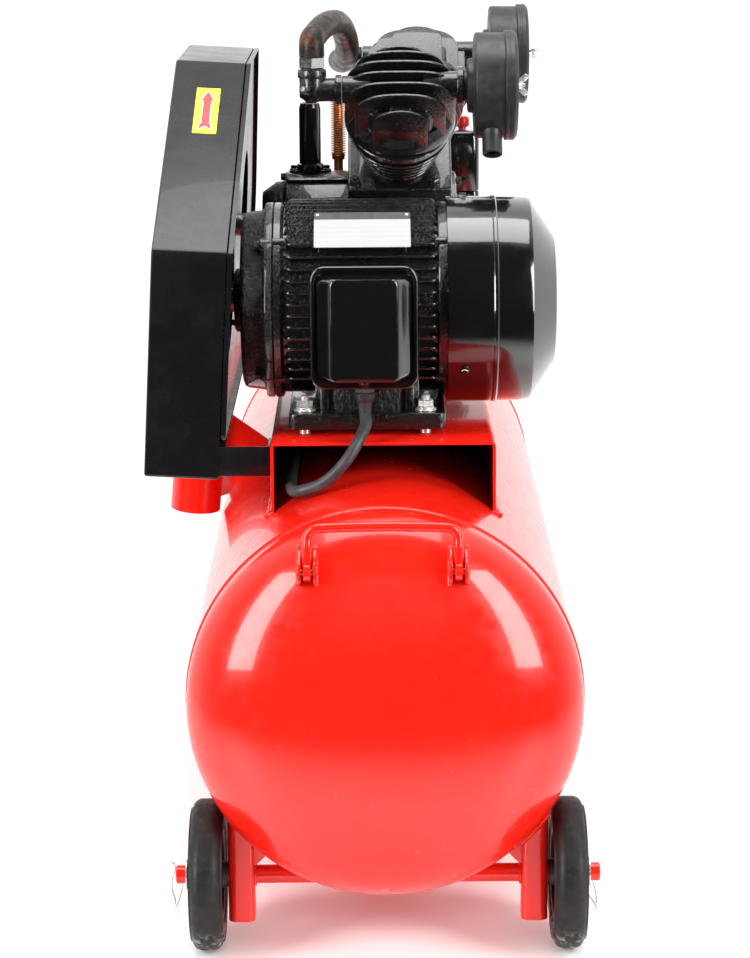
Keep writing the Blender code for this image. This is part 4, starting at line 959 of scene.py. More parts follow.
def guard_post():
    """Leaning tube on the receiver's shoulder and the plate that braces it."""
    y = 0.620
    bore, radius = 0.0295, 0.0328
    tube = turned([(bore, 0.001), (bore + 0.001, 0.0), (radius - 0.0008, 0.0), (radius, 0.0008),
                   (radius, 0.1482), (radius - 0.0008, 0.1490), (bore, 0.1490)],
                  "Z", 72, closed=True)
    moved(tube, (-0.2475, 0, 0.362), (0, math.radians(5.0), 0))
    plate = fillet([(-0.226, 0.374), (-0.150, 0.400), (-0.150, 0.455), (-0.205, 0.495),
                    (-0.226, 0.495)], 0.004)
    brace = softened(prism(plate, -0.003, 0.003, "Y"), 0.0006, angle=50)
    parts = [tube, brace]
    for side in (-1, 1):
        line = [(-0.2165 + 0.0007 * k, side * 0.0040, 0.40 + 0.014 * k) for k in range(7)]
        parts.append(weld(line, 0.0028))
    piece("guard_post_tube", together(*parts), RED, place=at(0, y, 0),
          stands_for=["guard_post"], sharp=40)


# ------------------------------------------------------------------------ motor
FRAME_X = (-0.1263, 0.0753)
FRAME_R = 0.1185
FRAME_CORE_R = 0.1085
FIN_PITCH = 0.0130
FIN_T = 0.0026
FOOT_Z = (0.5635, 0.583)
FOOT_X = (-0.1083, 0.0725)
FOOT_HALF_Y = 0.115
BOLT_XS = (-0.0903, 0.0497)
BOLT_HALF_Y = 0.095
SHIELD_X = -0.1653
COWL_X = (0.0757, 0.2025)
COWL_R = 0.1208
COWL_END_R = 0.076
BOX_X = -0.0208
BOX_Z = 0.6885
PLATE_ANGLE = math.radians(51.5)         # of the nameplate above the front
PLATE_X = BOX_X - 0.0015


def fin(reach, inner):
    """Flat cooling fin with scooped ends, lying in the plane of X and its reach."""
    low, high = FRAME_X[0] + 0.012, FRAME_X[1] - 0.010
    outline = fillet([(low, inner), (low + 0.004, reach), (high - 0.003, reach), (high, inner)],
                     [0, 0.012, 0.009, 0], 6)
    return softened(prism(outline, -FIN_T / 2, FIN_T / 2, "Z"), 0.0007, 2, 50)


def motor_frame():
    """Cast stator housing: parallel fins on four sides, end rings, lugs and feet."""
    core = turned([(0.0630, FRAME_X[0]), (0.1125, FRAME_X[0]), (0.1145, FRAME_X[0] + 0.002),
                   (0.1145, FRAME_X[0] + 0.009), (0.1125, FRAME_X[0] + 0.011),
                   (FRAME_CORE_R, FRAME_X[0] + 0.013), (FRAME_CORE_R, FRAME_X[1] - 0.012),
                   (0.1135, FRAME_X[1] - 0.010), (0.1145, FRAME_X[1] - 0.008),
                   (0.1145, FRAME_X[1]), (0.0630, FRAME_X[1])], "X", 128, closed=True)
    parts = [core]
    rows = 6
    for k in range(-rows, rows + 1):
        offset = k * FIN_PITCH
        reach = math.sqrt(FRAME_R ** 2 - offset ** 2)
        inner = math.sqrt((FRAME_CORE_R - 0.004) ** 2 - offset ** 2)
        for facing in (0, 90, 180):
            blade = moved(fin(reach, inner), (0, 0, offset))
            parts.append(moved(blade, turn=(math.radians(facing), 0, 0)))
    for _, y, z in circled(4, 0.1100, 0.5):
        for x, low, high in ((FRAME_X[0], 0.0, 0.016), (FRAME_X[1] - 0.014, 0.0, 0.014)):
            lug = rod(0.0070, x + low, x + high, "X", 28, 0.0012)
            parts.append(moved(lug, (0, y, z)))
    drop = -MOTOR_Z
    foot = prism(rounded((FOOT_X[1] - FOOT_X[0]) / 2, FOOT_HALF_Y, 0.008, 5),
                 FOOT_Z[0] + drop, FOOT_Z[1] + drop, "Z")
    parts.append(moved(softened(foot, 0.0020, 3), ((FOOT_X[0] + FOOT_X[1]) / 2, 0, 0)))
    for sign in (-1, 1):
        web = [(0.034, FOOT_Z[1] + drop - 0.003), (0.094, FOOT_Z[1] + drop - 0.003),
               (0.086, FOOT_Z[1] + drop + 0.022), (0.082, -0.066), (0.060, -0.066)]
        web = [(sign * a, b) for a, b in web]
        for x in (FOOT_X[0] + 0.036, (FOOT_X[0] + FOOT_X[1]) / 2 - 0.005, FOOT_X[1] - 0.046):
            parts.append(softened(prism(web, x, x + 0.010, "X"), 0.002, 2))
        wall = [(a * 0.93, b) for a, b in web]
        parts.append(softened(prism(wall, FOOT_X[0] + 0.030, FOOT_X[1] - 0.030, "X"), 0.002, 2))
    pad = softened(prism(rounded(0.051, 0.0240, 0.003, 4), 0.098, FRAME_R - 0.0005, "Z"), 0.0012)
    parts.append(moved(pad, (PLATE_X, 0, 0), (math.pi / 2 - PLATE_ANGLE, 0, 0)))
    piece("motor_stator_housing", together(*parts), CAST, place=MOTOR_AT,
          stands_for=["motor_frame"], sharp=38)


def nameplate():
    """Blank generic plate held by four drive rivets."""
    half_a, half_b = 0.0555, 0.0275
    face = softened(prism(rounded(half_a, half_b, 0.0015, 3), 0.0, 0.0009, "Z"), 0.0002, 1)
    obj = piece("motor_plate", face, plate_face(), sharp=30)
    turn = Matrix.Rotation(math.pi / 2 - PLATE_ANGLE, 4, "X")
    radius = FRAME_R - 0.0002
    centre = at(PLATE_X, MOTOR_Y - radius * math.cos(PLATE_ANGLE),
                MOTOR_Z + radius * math.sin(PLATE_ANGLE))
    obj.matrix_world = Matrix.Translation(centre) @ turn
    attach(obj, "chassis")
    rivets = []
    for a in (-1, 1):
        for b in (-1, 1):
            rivet = turned([(0, 0.0021), (0.0010, 0.0019), (0.0018, 0.0012), (0.0020, 0.0006),
                            (0, 0.0006)], "Z", 20)
            rivets.append(moved(rivet, (a * (half_a - 0.004), b * (half_b - 0.004), 0)))
    pins = piece("motor_plate_rivets", together(*rivets), ZINC)
    pins.matrix_world = Matrix.Translation(centre) @ turn
    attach(pins, "chassis")


def motor_endshield():
    """Coarse drive-end casting with a bearing boss, ribs and four bolts."""
    back, front = FRAME_X[0] - 0.0003, SHIELD_X
    profile = [(0.0145, front - 0.008), (0.034, front - 0.008), (0.037, front - 0.006),
               (0.0385, front + 0.002), (0.060, front + 0.003), (0.0960, front + 0.002),
               (0.1010, front + 0.004), (0.1035, front + 0.008), (0.1060, back - 0.012),
               (0.1075, back - 0.010), (0.1130, back - 0.009), (0.1145, back - 0.007),
               (0.1145, back), (0.058, back), (0.052, back - 0.020), (0.0145, back - 0.022)]
    parts = [turned(profile, "X", 128, closed=True)]
    for _, y, z in circled(4, 0.1065, 0.5):
        parts.append(moved(rod(0.0085, back - 0.014, back, "X", 28, 0.0015), (0, y, z)))
        screw = bolt(0.010, 0.006, 0.0, (0, -math.pi / 2, 0))
        parts.append(moved(screw, (back - 0.014, y, z)))
    for _, y, z in circled(3, 0.0265, 0.25):
        cap_screw = bolt(0.007, 0.004, 0.0, (0, -math.pi / 2, 0))
        parts.append(moved(cap_screw, (front - 0.008, y, z)))
    piece("motor_drive_end_casting", together(*parts), ROUGH_CAST,
          place=MOTOR_AT, stands_for=["motor_endshield"], sharp=38)


def fan_cowl():
    """Spun sheet cowl with a swage, a coned end and a wire-pattern grille."""
    start, end = COWL_X
    t = 0.0016
    taper = end - 0.032
    swage = start + 0.0552
    profile = [(COWL_R, start), (COWL_R, swage - 0.0030), (COWL_R + 0.0009, swage - 0.0015),
               (COWL_R + 0.0009, swage + 0.0015), (COWL_R - 0.0006, swage + 0.0030),
               (COWL_R - 0.0008, taper - 0.002), (COWL_R - 0.0028, taper + 0.003)]
    cone = [(COWL_R - 0.0028, taper + 0.003), (COWL_END_R + 0.002, end - 0.0016),
            (COWL_END_R, end - 0.0004), (COWL_END_R - 0.003, end)]
    profile += cone[1:]
    profile += [(COWL_END_R - 0.004, end), (COWL_END_R - 0.004, end - t),
                (COWL_R - 0.0028 - t, taper + 0.002), (COWL_R - t, taper - 0.003),
                (COWL_R - t, start)]
    parts = [turned(profile, "X", 160, closed=True)]
    for k in range(5):
        radius = 0.016 + 0.0125 * k
        parts.append(moved(ring(radius, 0.0013, "X", 96, 8), (end - 0.0014, 0, 0)))
    parts += spread(8, (end - 0.0024, -0.0022, 0.010), (end - 0.0004, 0.0022, 0.0735), 0.0004)
    parts.append(rod(0.0125, end - 0.0026, end - 0.0002, "X", 48, 0.0005))
    for degrees in (-33, 88, 147, 213):
        angle = math.radians(degrees)
        screw = bolt(0.008, 0.0045, 0.0, (math.pi / 2 - angle, 0, 0))
        radius = COWL_R - 0.0006
        parts.append(moved(screw, (start + 0.0190, -radius * math.cos(angle),
                                   radius * math.sin(angle))))
    piece("fan_cowl_pressing", together(*parts), BLACK, place=MOTOR_AT,
          stands_for=["fan_cowl"], sharp=30)


def terminal_box():
    """Saddle box with a rolled rim, and its lid with a barrel-shaped panel."""
    place = at(BOX_X, 0, BOX_Z)
    wall = [(0.0560, 0.0650, 0.014, 0.1950), (0.0560, 0.0650, 0.014, 0.1390),
            (0.0598, 0.0693, 0.016, 0.1372), (0.0610, 0.0705, 0.016, 0.1360),
            (0.0610, 0.0705, 0.016, 0.1318), (0.0602, 0.0697, 0.016, 0.1302),
            (0.0590, 0.0685, 0.015, 0.1296), (0.0570, 0.0665, 0.015, 0.1300),
            (0.0560, 0.0655, 0.014, 0.1312), (0.0540, 0.0630, 0.012, 0.1340)]
    bm = lofted(wall, 8, lambda a, b, t: (a, t, b))
    body = piece("terminal_box_casting", bm, BLACK, place=place,
                 stands_for=["terminal_box"], sharp=50)
    body.data.shade_smooth()
    lid = [(0.0530, 0.0612, 0.0130, 0.1338), (0.0530, 0.0612, 0.0130, 0.1290),
           (0.0522, 0.0605, 0.0130, 0.1272), (0.0512, 0.0600, 0.0125, 0.1255),
           (0.0495, 0.0597, 0.0115, 0.1235), (0.0468, 0.0594, 0.0105, 0.1200),
           (0.0440, 0.0592, 0.0095, 0.1160), (0.0415, 0.0590, 0.0085, 0.1125),
           (0.0394, 0.0587, 0.0075, 0.1100), (0.0380, 0.0583, 0.0070, 0.1084),
           (0.0362, 0.0570, 0.0060, 0.1077), (0.0300, 0.0500, 0.0050, 0.1075)]
    bm = lofted(lid, 8, lambda a, b, t: (a, t, b))
    screw = turned([(0, 0.0016), (0.0024, 0.0014), (0.0040, 0.0006), (0.0042, 0.0),
                    (0, 0.0)], "Z", 28)
    seat = rod(0.0062, 0.0, 0.0050, steps=28, chamfer=0.0008)
    slot_bar = softened(slab((-0.0028, -0.0005, 0.0012), (0.0028, 0.0005, 0.0019)), 0.0001, 1)
    head = together(screw, moved(slot_bar, turn=(0, 0, 0.6)))
    boss = together(seat, moved(head, (0, 0, 0.0050)))
    moved(boss, turn=(math.pi / 2, 0, 0))
    bm = together(bm, moved(boss, (0, 0.1310, -0.0615)))
    piece("terminal_box_lid", bm, BLACK, place=place, stands_for=["terminal_lid"], sharp=45)


GLAND = (-0.0205, 0.151, 0.6180)
CABLE_R = 0.0068
SWITCH_X = 0.114
SWITCH_Y = 0.860


def cable_gland():
    """Six-sided body and ribbed dome nut, with the sheath's tapered relief."""
    x, y, z = GLAND
    body = hexagon(0.0220, -0.0065, -0.0003)
    nut = turned([(0, -0.0065), (0.0105, -0.0065), (0.0112, -0.0075), (0.0112, -0.0130),
                  (0.0100, -0.0158), (0.0086, -0.0183), (0, -0.0183)], "Z", 48)
    ribs = spread(12, (0.0105, -0.0009, -0.0135), (0.0119, 0.0009, -0.0075), 0.0003, 1, "Z")
    piece("cable_gland_nut", together(body, nut, *ribs), HUB, place=at(x, y, z),
          stands_for=["cable_gland"])


def motor_cable():
    """Lead from the terminal box, through the bridge and up to the switch."""
    x, y, z = GLAND
    route = [(x, y, z - 0.0210), (x, y, z - 0.0330), (-0.0196, 0.1370, 0.5760),
             (-0.0286, 0.1180, 0.5600), (-0.0440, 0.1070, 0.5380), (-0.0664, 0.1070, 0.5160),
             (-0.0885, 0.1110, 0.5060), (-0.1030, 0.1250, 0.5015), (-0.1070, 0.1700, 0.5000),
             (-0.1065, 0.2500, 0.4985),
             (-0.1060, 0.3300, 0.4965), (-0.1060, 0.5000, 0.4965), (-0.1040, 0.6800, 0.4975),
             (-0.0800, 0.7750, 0.5120), (-0.0100, 0.8150, 0.5250), (0.0650, 0.8320, 0.5300),
             (0.1050, 0.8480, 0.5550), (0.1130, 0.8580, 0.6100), (SWITCH_X, SWITCH_Y, 0.6800),
             (SWITCH_X, SWITCH_Y, 0.7405)]
    points = [at(*p) for p in route]
    sheath = swept(points, CABLE_R, sides=24, spacing=0.006)
    piece("motor_lead", sheath, CABLE, stands_for=["motor_cable"], sharp=50)
    collar = turned([(0.0, -0.0165), (0.0086, -0.0165), (0.0080, -0.0190), (0.0072, -0.0270),
                     (0.0069, -0.0300), (0.0, -0.0300)], "Z", 40)
    piece("motor_lead_relief", collar, CABLE, place=at(x, y, z))
    boot = turned([(0, 0.0), (0.0118, 0.0), (0.0118, 0.0110), (0.0105, 0.0130), (0.0105, 0.0200),
                   (0, 0.0200)], "Z", 40)
    piece("switch_gland", boot, HUB, place=at(SWITCH_X, SWITCH_Y, 0.7220))


def motor_bolts():
    """Zinc foot fasteners: spacer, washers, nut and the stud's end."""
    names = ("front_left", "front_right", "rear_left", "rear_right")
    places = [(x, MOTOR_Y + sign * BOLT_HALF_Y) for sign in (-1, 1) for x in BOLT_XS]
    low, high = FOOT_Z
    for number, (name, (x, y)) in enumerate(zip(names, places)):
        spacer = rod(0.0060, BRIDGE_TOP + 0.0003, low - 0.0003, steps=40, chamfer=0.0006)
        washer = rod(0.0125, high + 0.0002, high + 0.0022, steps=40, chamfer=0.0005)
        spring = rod(0.0098, high + 0.0022, high + 0.0046, steps=32, chamfer=0.0004)
        nut = hexagon(0.0168, high + 0.0046, high + 0.0126)
        stud = rod(0.0048, high + 0.0120, high + 0.0180, steps=28, chamfer=0.0009)
        threads = [moved(ring(0.0048, 0.0004, "Z", 28, 6), (0, 0, high + 0.0136 + 0.0012 * k))
                   for k in range(3)]
        shank = rod(0.0055, low - 0.002, high + 0.001, steps=24)
        bm = together(spacer, washer, spring, moved(nut, turn=(0, 0, 0.4 + 0.7 * number)), stud,
                      shank, *threads)
        piece(f"foot_bolt_{name}", bm, ZINC, place=at(x, y, 0),
              stands_for=[f"motor_bolt_{name}"], sharp=30)


DRIVE_X = -0.219
PULLEY_R = 0.0545
BELT_XS = (-0.0078, 0.0078)


def grooves(radius, floor):
    """The part of a pulley's profile that holds the two belts."""
    return [point for x in BELT_XS
            for point in ((radius, x - 0.0070), (floor, x - 0.0040),
                          (floor, x + 0.0040), (radius, x + 0.0070))]


def rotor():
    """Shaft, laminated core, fan and pulley, which turn together."""
    place = MOTOR_AT
    profile = [(0, -0.2385), (0.0130, -0.2385), (0.0140, -0.2375), (0.0140, -0.110),
               (0.0600, -0.110), (0.0600, 0.055), (0.0130, 0.055), (0.0130, 0.150), (0, 0.150)]
    piece("rotor_shaft", turned(profile, "X", 64), STEEL, "rotor", place, ["motor_rotor"])
    hub = turned([(0.0137, 0.100), (0.0230, 0.100), (0.0250, 0.102), (0.0250, 0.118),
                  (0.0940, 0.118), (0.0950, 0.119), (0.0950, 0.120), (0.0940, 0.121),
                  (0.0137, 0.121)], "X", 96, closed=True)
    blades = spread(6, (0.104, 0.022, -0.0012), (0.1195, 0.094, 0.0012), 0.0005)
    piece("cooling_fan", together(hub, *blades), HUB, "rotor", place, ["motor_fan"])
    radius, floor, half = PULLEY_R, PULLEY_R - 0.009, 0.0205
    profile = [(0.0143, -half), (radius - 0.001, -half), (radius, -half + 0.001)]
    profile += grooves(radius, floor)
    profile += [(radius, half - 0.001), (radius - 0.001, half), (0.030, half),
                (0.028, half - 0.006), (0.0143, half - 0.006)]
    piece("motor_vee_pulley", turned(profile, "X", 96, closed=True), CAST, "rotor",
          at(DRIVE_X, MOTOR_Y, MOTOR_Z), ["motor_pulley"], 30)


# ------------------------------------------------------------------ belt and pump
FLYWHEEL_R = 0.183
CASE_X = (-0.040, 0.088)
CYL_X = {"front": 0.0240, "rear": 0.0500}
FILTER_SHIFT = 0.034
DECK = 0.135
BARREL_TOP = 0.208
BORE_R = 0.0335
HEAD_TOP = 0.299
HEAD_R = 0.0675
HEAD_OVAL = 0.86                         # fore-and-aft size over width
HEAD_BROW = 0.2620                       # where the fins' outer ends stop
PORT_ENDS = {"front": -0.0460, "rear": -0.0220}
FILTER_R = 0.0655
SNOUT_TILT = math.radians(30)
ELBOW = (-0.0815, 0.385, 0.9340)
HOT_PIPE_R = 0.0152


def belt_outline(small, large, steps=36):
    """Outline of a loop round the two pulleys, in (y, z) from the motor axis."""
    run = Vector((PUMP_Y - MOTOR_Y, PUMP_Z - MOTOR_Z))
    slope = math.atan2(run.y, run.x)
    wrap = math.acos((large - small) / run.length)
    points = []
    for k in range(steps + 1):
        angle = slope + (math.pi - wrap) + 2 * wrap * k / steps
        points.append((small * math.cos(angle), small * math.sin(angle)))
    for k in range(2 * steps + 1):
        angle = slope - (math.pi - wrap) + (TURN - 2 * wrap) * k / (2 * steps)
        points.append((run.x + large * math.cos(angle), run.y + large * math.sin(angle)))
    return points


def drive_belts():
    """Two vee belts side by side in the grooves."""
    small, large = PULLEY_R - 0.0072, FLYWHEEL_R - 0.0072
    lift = 0.0066
    loops = []
    for centre in BELT_XS:
        bm = bmesh.new()
        rings = []
        for x, grow in ((-0.0042, 0.0), (-0.0066, lift), (0.0066, lift), (0.0042, 0.0)):
            rings.append([bm.verts.new((centre + x, a, b))
                          for a, b in belt_outline(small + grow, large + grow)])
        loops.append(softened(skinned(bm, rings, looped=True), 0.0005, 1, 50))
    piece("vee_belts", together(*loops), CABLE, place=at(DRIVE_X, MOTOR_Y, MOTOR_Z),
          stands_for=["drive_belt"], sharp=40)


def flywheel():
    """Two-groove pump pulley whose pitched spokes push air over the pump."""
    half, floor, inner = 0.0215, FLYWHEEL_R - 0.009, 0.158
    profile = [(inner, -half + 0.001), (inner + 0.001, -half), (FLYWHEEL_R - 0.001, -half),
               (FLYWHEEL_R, -half + 0.001)]
    profile += grooves(FLYWHEEL_R, floor)
    profile += [(FLYWHEEL_R, half - 0.001), (FLYWHEEL_R - 0.001, half), (inner + 0.001, half),
                (inner, half - 0.001)]
    parts = [turned(profile, "X", 160, closed=True)]
    parts.append(turned([(0.0155, -half), (0.031, -half), (0.033, -half + 0.002),
                         (0.033, half + 0.002), (0.031, half + 0.004), (0.0155, half + 0.004)],
                        "X", 64, closed=True))
    for k in range(5):
        blade = softened(slab((-0.0045, -0.019, 0.020), (0.0045, 0.019, 0.1610)), 0.0020, 3)
        moved(blade, turn=(0, 0, math.radians(16)))
        parts.append(moved(blade, turn=(TURN * k / 5, 0, 0)))
    piece("pump_flywheel", together(*parts), CAST, "crank", at(DRIVE_X, PUMP_Y, PUMP_Z),
          ["flywheel"], 34)
    place = PUMP_AT
    shaft = rod(0.0148, -0.2440, 0.0020, "X", 56, 0.001)
    web = fillet([(-0.018, -0.036), (0.018, -0.036), (0.022, -0.010), (0.017, 0.036),
                  (-0.017, 0.036), (-0.022, -0.010)], 0.006)
    webs = [softened(prism(web, low, high, "X"), 0.001)
            for low, high in ((0.0, 0.009), (0.0720, 0.0805))]
    pin = moved(rod(0.0125, 0.004, 0.0765, "X", 48), (0, 0, 0.0225))
    nut = hexagon(0.024, -0.2440, -0.2410, "X")
    piece("pump_crankshaft", together(shaft, *webs, pin, nut), STEEL, "crank", place,
          ["crankshaft"])


def on_cylinder(bm, end):
    """Stand a mesh on a cylinder's axis, in the pump's own terms."""
    turn = math.radians(45 if end == "front" else -45)
    return moved(bm, (CYL_X[end], 0, 0), (turn, 0, 0))


def crankcase():
    """Cast case with decks, foot, bearing housing, end cover, plugs and sight glass."""
    s = math.sqrt(0.5)
    deck, reach = DECK * s, 0.050 * s
    half = [(0.0, 0.072), (deck - reach, deck + reach), (deck + reach, deck - reach),
            (0.088, -0.045), (0.088, 0.560 - PUMP_Z)]
    outline = half + [(-y, z) for y, z in reversed(half[1:])]
    body = prism(fillet(outline, [0.020, 0.005, 0.005, 0.030, 0, 0, 0.030, 0.005, 0.005], 6),
                 *CASE_X, "X")
    body = softened(body, 0.0030, 3)
    for end in ("front", "rear"):
        body = cut(body, on_cylinder(rod(BORE_R, 0.060, 0.200, "Z", 64), end))
    parts = [body]
    foot_low, foot_high = BRIDGE_TOP + 0.0003 - PUMP_Z, 0.569 - PUMP_Z
    foot = prism(rounded((CASE_X[1] - CASE_X[0]) / 2 + 0.010, 0.106, 0.012, 5),
                 foot_low, foot_high, "Z")
    parts.append(moved(softened(foot, 0.0025, 3), ((CASE_X[0] + CASE_X[1]) / 2, 0, 0)))
    for x in (CASE_X[0] + 0.006, CASE_X[1] - 0.006):
        for y in (-0.0945, 0.0945):
            parts.append(bolt(0.013, 0.008, 0.005, place=(x, y, foot_high)))
    housing = [(0, -0.030), (0.0685, -0.030), (0.0685, -0.1180), (0.0670, -0.1200),
               (0.0575, -0.1220), (0.0560, -0.1240), (0.0550, -0.132), (0.0420, -0.1500),
               (0, -0.1500)]
    parts.append(turned(housing[::-1], "X", 112))
    for angle, y, z in circled(6, 0.0615, 0.5):
        screw = bolt(0.009, 0.006, 0.0, (0, -math.pi / 2, 0))
        parts.append(moved(screw, (-0.1195, y, z)))
        rib = softened(slab((-0.1180, -0.0030, 0.060), (-0.036, 0.0030, 0.0735)), 0.0012)
        parts.append(moved(rib, turn=(angle, 0, 0)))
    cover = turned([(0, 0.0), (0.0640, 0.0), (0.0665, 0.0020), (0.0665, 0.0065),
                    (0.0640, 0.0080), (0.0400, 0.0080), (0.0380, 0.0100), (0, 0.0100)][::-1],
                   "X", 96)
    parts.append(moved(cover, (CASE_X[1], 0, 0)))
    for k in range(8):
        angle = TURN * k / 8 + 0.2
        screw = bolt(0.009, 0.006, 0.0, (0, math.pi / 2, 0))
        parts.append(moved(screw, (CASE_X[1] + 0.0077, 0.0575 * math.cos(angle),
                                   0.0575 * math.sin(angle))))
    for end, shift, half_width in (("front", -0.0070, 0.0570), ("rear", -0.0060, 0.0440)):
        flange = prism(rounded(half_width, 0.0460, 0.012, 5), DECK - 0.010, DECK - 0.0002, "Z")
        flange = softened(moved(flange, (shift, 0, 0)), 0.0018, 3)
        bore = rod(BORE_R, DECK - 0.030, DECK + 0.010, "Z", 64)
        parts.append(on_cylinder(cut(flange, bore), end))
        for a in (-1, 1):
            for b in (-0.0375, 0.0375):
                spot = (shift + a * (half_width - 0.0077), b, DECK - 0.0004)
                parts.append(on_cylinder(bolt(0.011, 0.007, 0.004, place=spot), end))
    for y in (-0.045, 0.0, 0.045):
        rib = softened(slab((CASE_X[0] - 0.0030, y - 0.003, -0.178),
                            (CASE_X[0] + 0.004, y + 0.003, -0.060)), 0.001)
        parts.append(rib)
    piece("pump_crankcase", together(*parts), CAST, place=PUMP_AT,
          stands_for=["crankcase"], sharp=38)
    glass_rim = turned([(0.0095, 0.0), (0.0130, 0.0), (0.0130, 0.0050), (0.0118, 0.0060),
                        (0.0095, 0.0060)], "X", 48, closed=True)
    place = at(CASE_X[1] + 0.0098, PUMP_Y, PUMP_Z - 0.018)
    piece("sight_glass_ring", glass_rim, BRASS, place=place)
    piece("sight_glass", turned([(0, 0.0), (0.0100, 0.0), (0.0100, 0.0035), (0.0060, 0.0045),
                                 (0, 0.0048)][::-1], "X", 40),
          moulded("oil_window", "red_plastic", (0.55, 0.20, 0.03), 0.10), place=place)
    plug = together(hexagon(0.016, 0.0, 0.007, "Y"), rod(0.0095, 0.0, -0.003, "Y", 32))
    plug_place = at(0.030, PUMP_Y + 0.0882, PUMP_Z - 0.165)
    piece("oil_drain_plug", plug, BRASS, place=plug_place)


def cylinder(end):
    """Barrel with close round fins that widen towards the head."""
    profile = [(0.0326, DECK + 0.0003), (0.0380, DECK + 0.0003), (0.0395, DECK + 0.0070),
               (0.0385, DECK + 0.0090)]
    fins = 5
    for k in range(fins):
        base = DECK + 0.0115 + 0.0105 * k
        radius = 0.0455 + 0.0038 * k
        profile += [(0.0385, base), (radius - 0.0008, base + 0.0008), (radius, base + 0.0016),
                    (radius, base + 0.0024), (radius - 0.0008, base + 0.0032),
                    (0.0385, base + 0.0044)]
    profile += [(0.0400, BARREL_TOP - 0.0090), (0.0615, BARREL_TOP - 0.0080),
                (0.0630, BARREL_TOP - 0.0065), (0.0630, BARREL_TOP - 0.0010),
                (0.0622, BARREL_TOP - 0.0002), (0.0326, BARREL_TOP - 0.0002)]
    bm = on_cylinder(turned(profile, "Z", 96, closed=True), end)
    piece(f"cylinder_{end}_barrel", bm, CAST, place=PUMP_AT,
          stands_for=[f"cylinder_{end}"], sharp=34)


def dome_height(x, y):
    reach = min(1.0, (x / HEAD_R) ** 2 + (y / (HEAD_R * HEAD_OVAL)) ** 2)
    return HEAD_BROW + (HEAD_TOP - HEAD_BROW) * math.sqrt(1 - reach ** 2)


def head_fin(y, base, steps=28):
    """One upright fin that crosses the head, its top edge following the dome."""
    half = HEAD_R * math.sqrt(max(0.02, 1 - (y / (HEAD_R * HEAD_OVAL)) ** 2)) - 0.0006
    outline = [(-half, base)]
    for k in range(steps + 1):
        x = -half * math.cos(math.pi * k / steps)
        outline.append((x, dome_height(x, y)))
    outline.append((half, base))
    blade = prism(outline, y - 0.0017, y + 0.0017, "Y")
    return softened(blade, 0.0007, 2, 50)


def cylinder_head(end):
    """Cast head: round skirt, tall arched fins, bolt bosses and a middle bridge."""
    base = BARREL_TOP + 0.0003
    skirt = turned([(0, base), (HEAD_R - 0.001, base), (HEAD_R, base + 0.001),
                    (HEAD_R, base + 0.0125), (HEAD_R - 0.0015, base + 0.0150),
                    (HEAD_R - 0.0065, base + 0.0260), (0, base + 0.0290)], "Z", 112)
    bmesh.ops.scale(skirt, vec=(1.0, HEAD_OVAL, 1.0), verts=skirt.verts)
    parts = [skirt]
    for k in range(7):
        parts.append(head_fin((k - 3) * 0.0168, base + 0.010))
    spine = prism(rounded(0.0130, 0.0460, 0.006, 4), base, 0.2740, "Z")
    parts.append(softened(spine, 0.0025, 3))
    for k in range(-1, 2):
        lump = softened(slab((-0.0100, -0.0045 + 0.030 * k, 0.270),
                             (0.0100, 0.0045 + 0.030 * k, 0.2830)), 0.0020, 3)
        parts.append(lump)
    for a in (-0.0300, 0.0300):
        for b in (-0.0300, 0.0300):
            boss = turned([(0, base), (0.0110, base), (0.0100, 0.2620), (0.0090, 0.2635),
                           (0, 0.2635)], "Z", 36)
            parts.append(moved(boss, (a, b, 0)))
            parts.append(bolt(0.0118, 0.0065, 0.0, place=(a, b, 0.2632)))
    whole = on_cylinder(together(*parts), end)
    if end == "front":
        neck = (0.0, -0.195, 0.193)
        port = (0.0, ELBOW[1] - PUMP_Y, ELBOW[2] - PUMP_Z)
    else:
        neck = (FILTER_SHIFT, 0.195, 0.200)
        port = (0.0, 0.200, 0.195)
    port_end = PORT_ENDS[end]
    flange = turned([(0, 0.052), (0.0170, 0.052), (0.0170, 0.0915), (0.0225, 0.0920),
                     (0.0230, 0.0930), (0.0230, 0.0988), (0.0222, 0.0996), (0, 0.0996)][::-1],
                    "X", 56)
    outlet = turned([(0, port_end), (0.0155, port_end), (0.0165, port_end + 0.001),
                     (0.0165, port_end + 0.034), (0, port_end + 0.034)][::-1], "X", 48)
    whole = together(whole, moved(flange, neck), moved(outlet, port))
    piece(f"cylinder_head_{end}", whole, CAST, place=PUMP_AT,
          stands_for=[f"head_{end}"], sharp=38)


def piston(end):
    """Piston with three ring grooves and a hollow skirt."""
    crown, radius = 0.180, 0.0321
    skirt = crown - 0.040
    profile = [(0, crown), (radius - 0.0006, crown), (radius, crown - 0.0006)]
    for k in range(3):
        start = crown - 0.0050 - 0.0055 * k
        profile += [(radius, start), (radius - 0.0016, start), (radius - 0.0016, start - 0.002),
                    (radius, start - 0.002)]
    profile += [(radius, skirt), (0.0270, skirt), (0.0270, crown - 0.008), (0, crown - 0.008)]
    bm = on_cylinder(turned(profile, "Z", 72), end)
    piece(f"{end}_piston_crown", bm, ALLOY, f"{end}_piston", PUMP_AT,
          [f"piston_{end}"], 30)


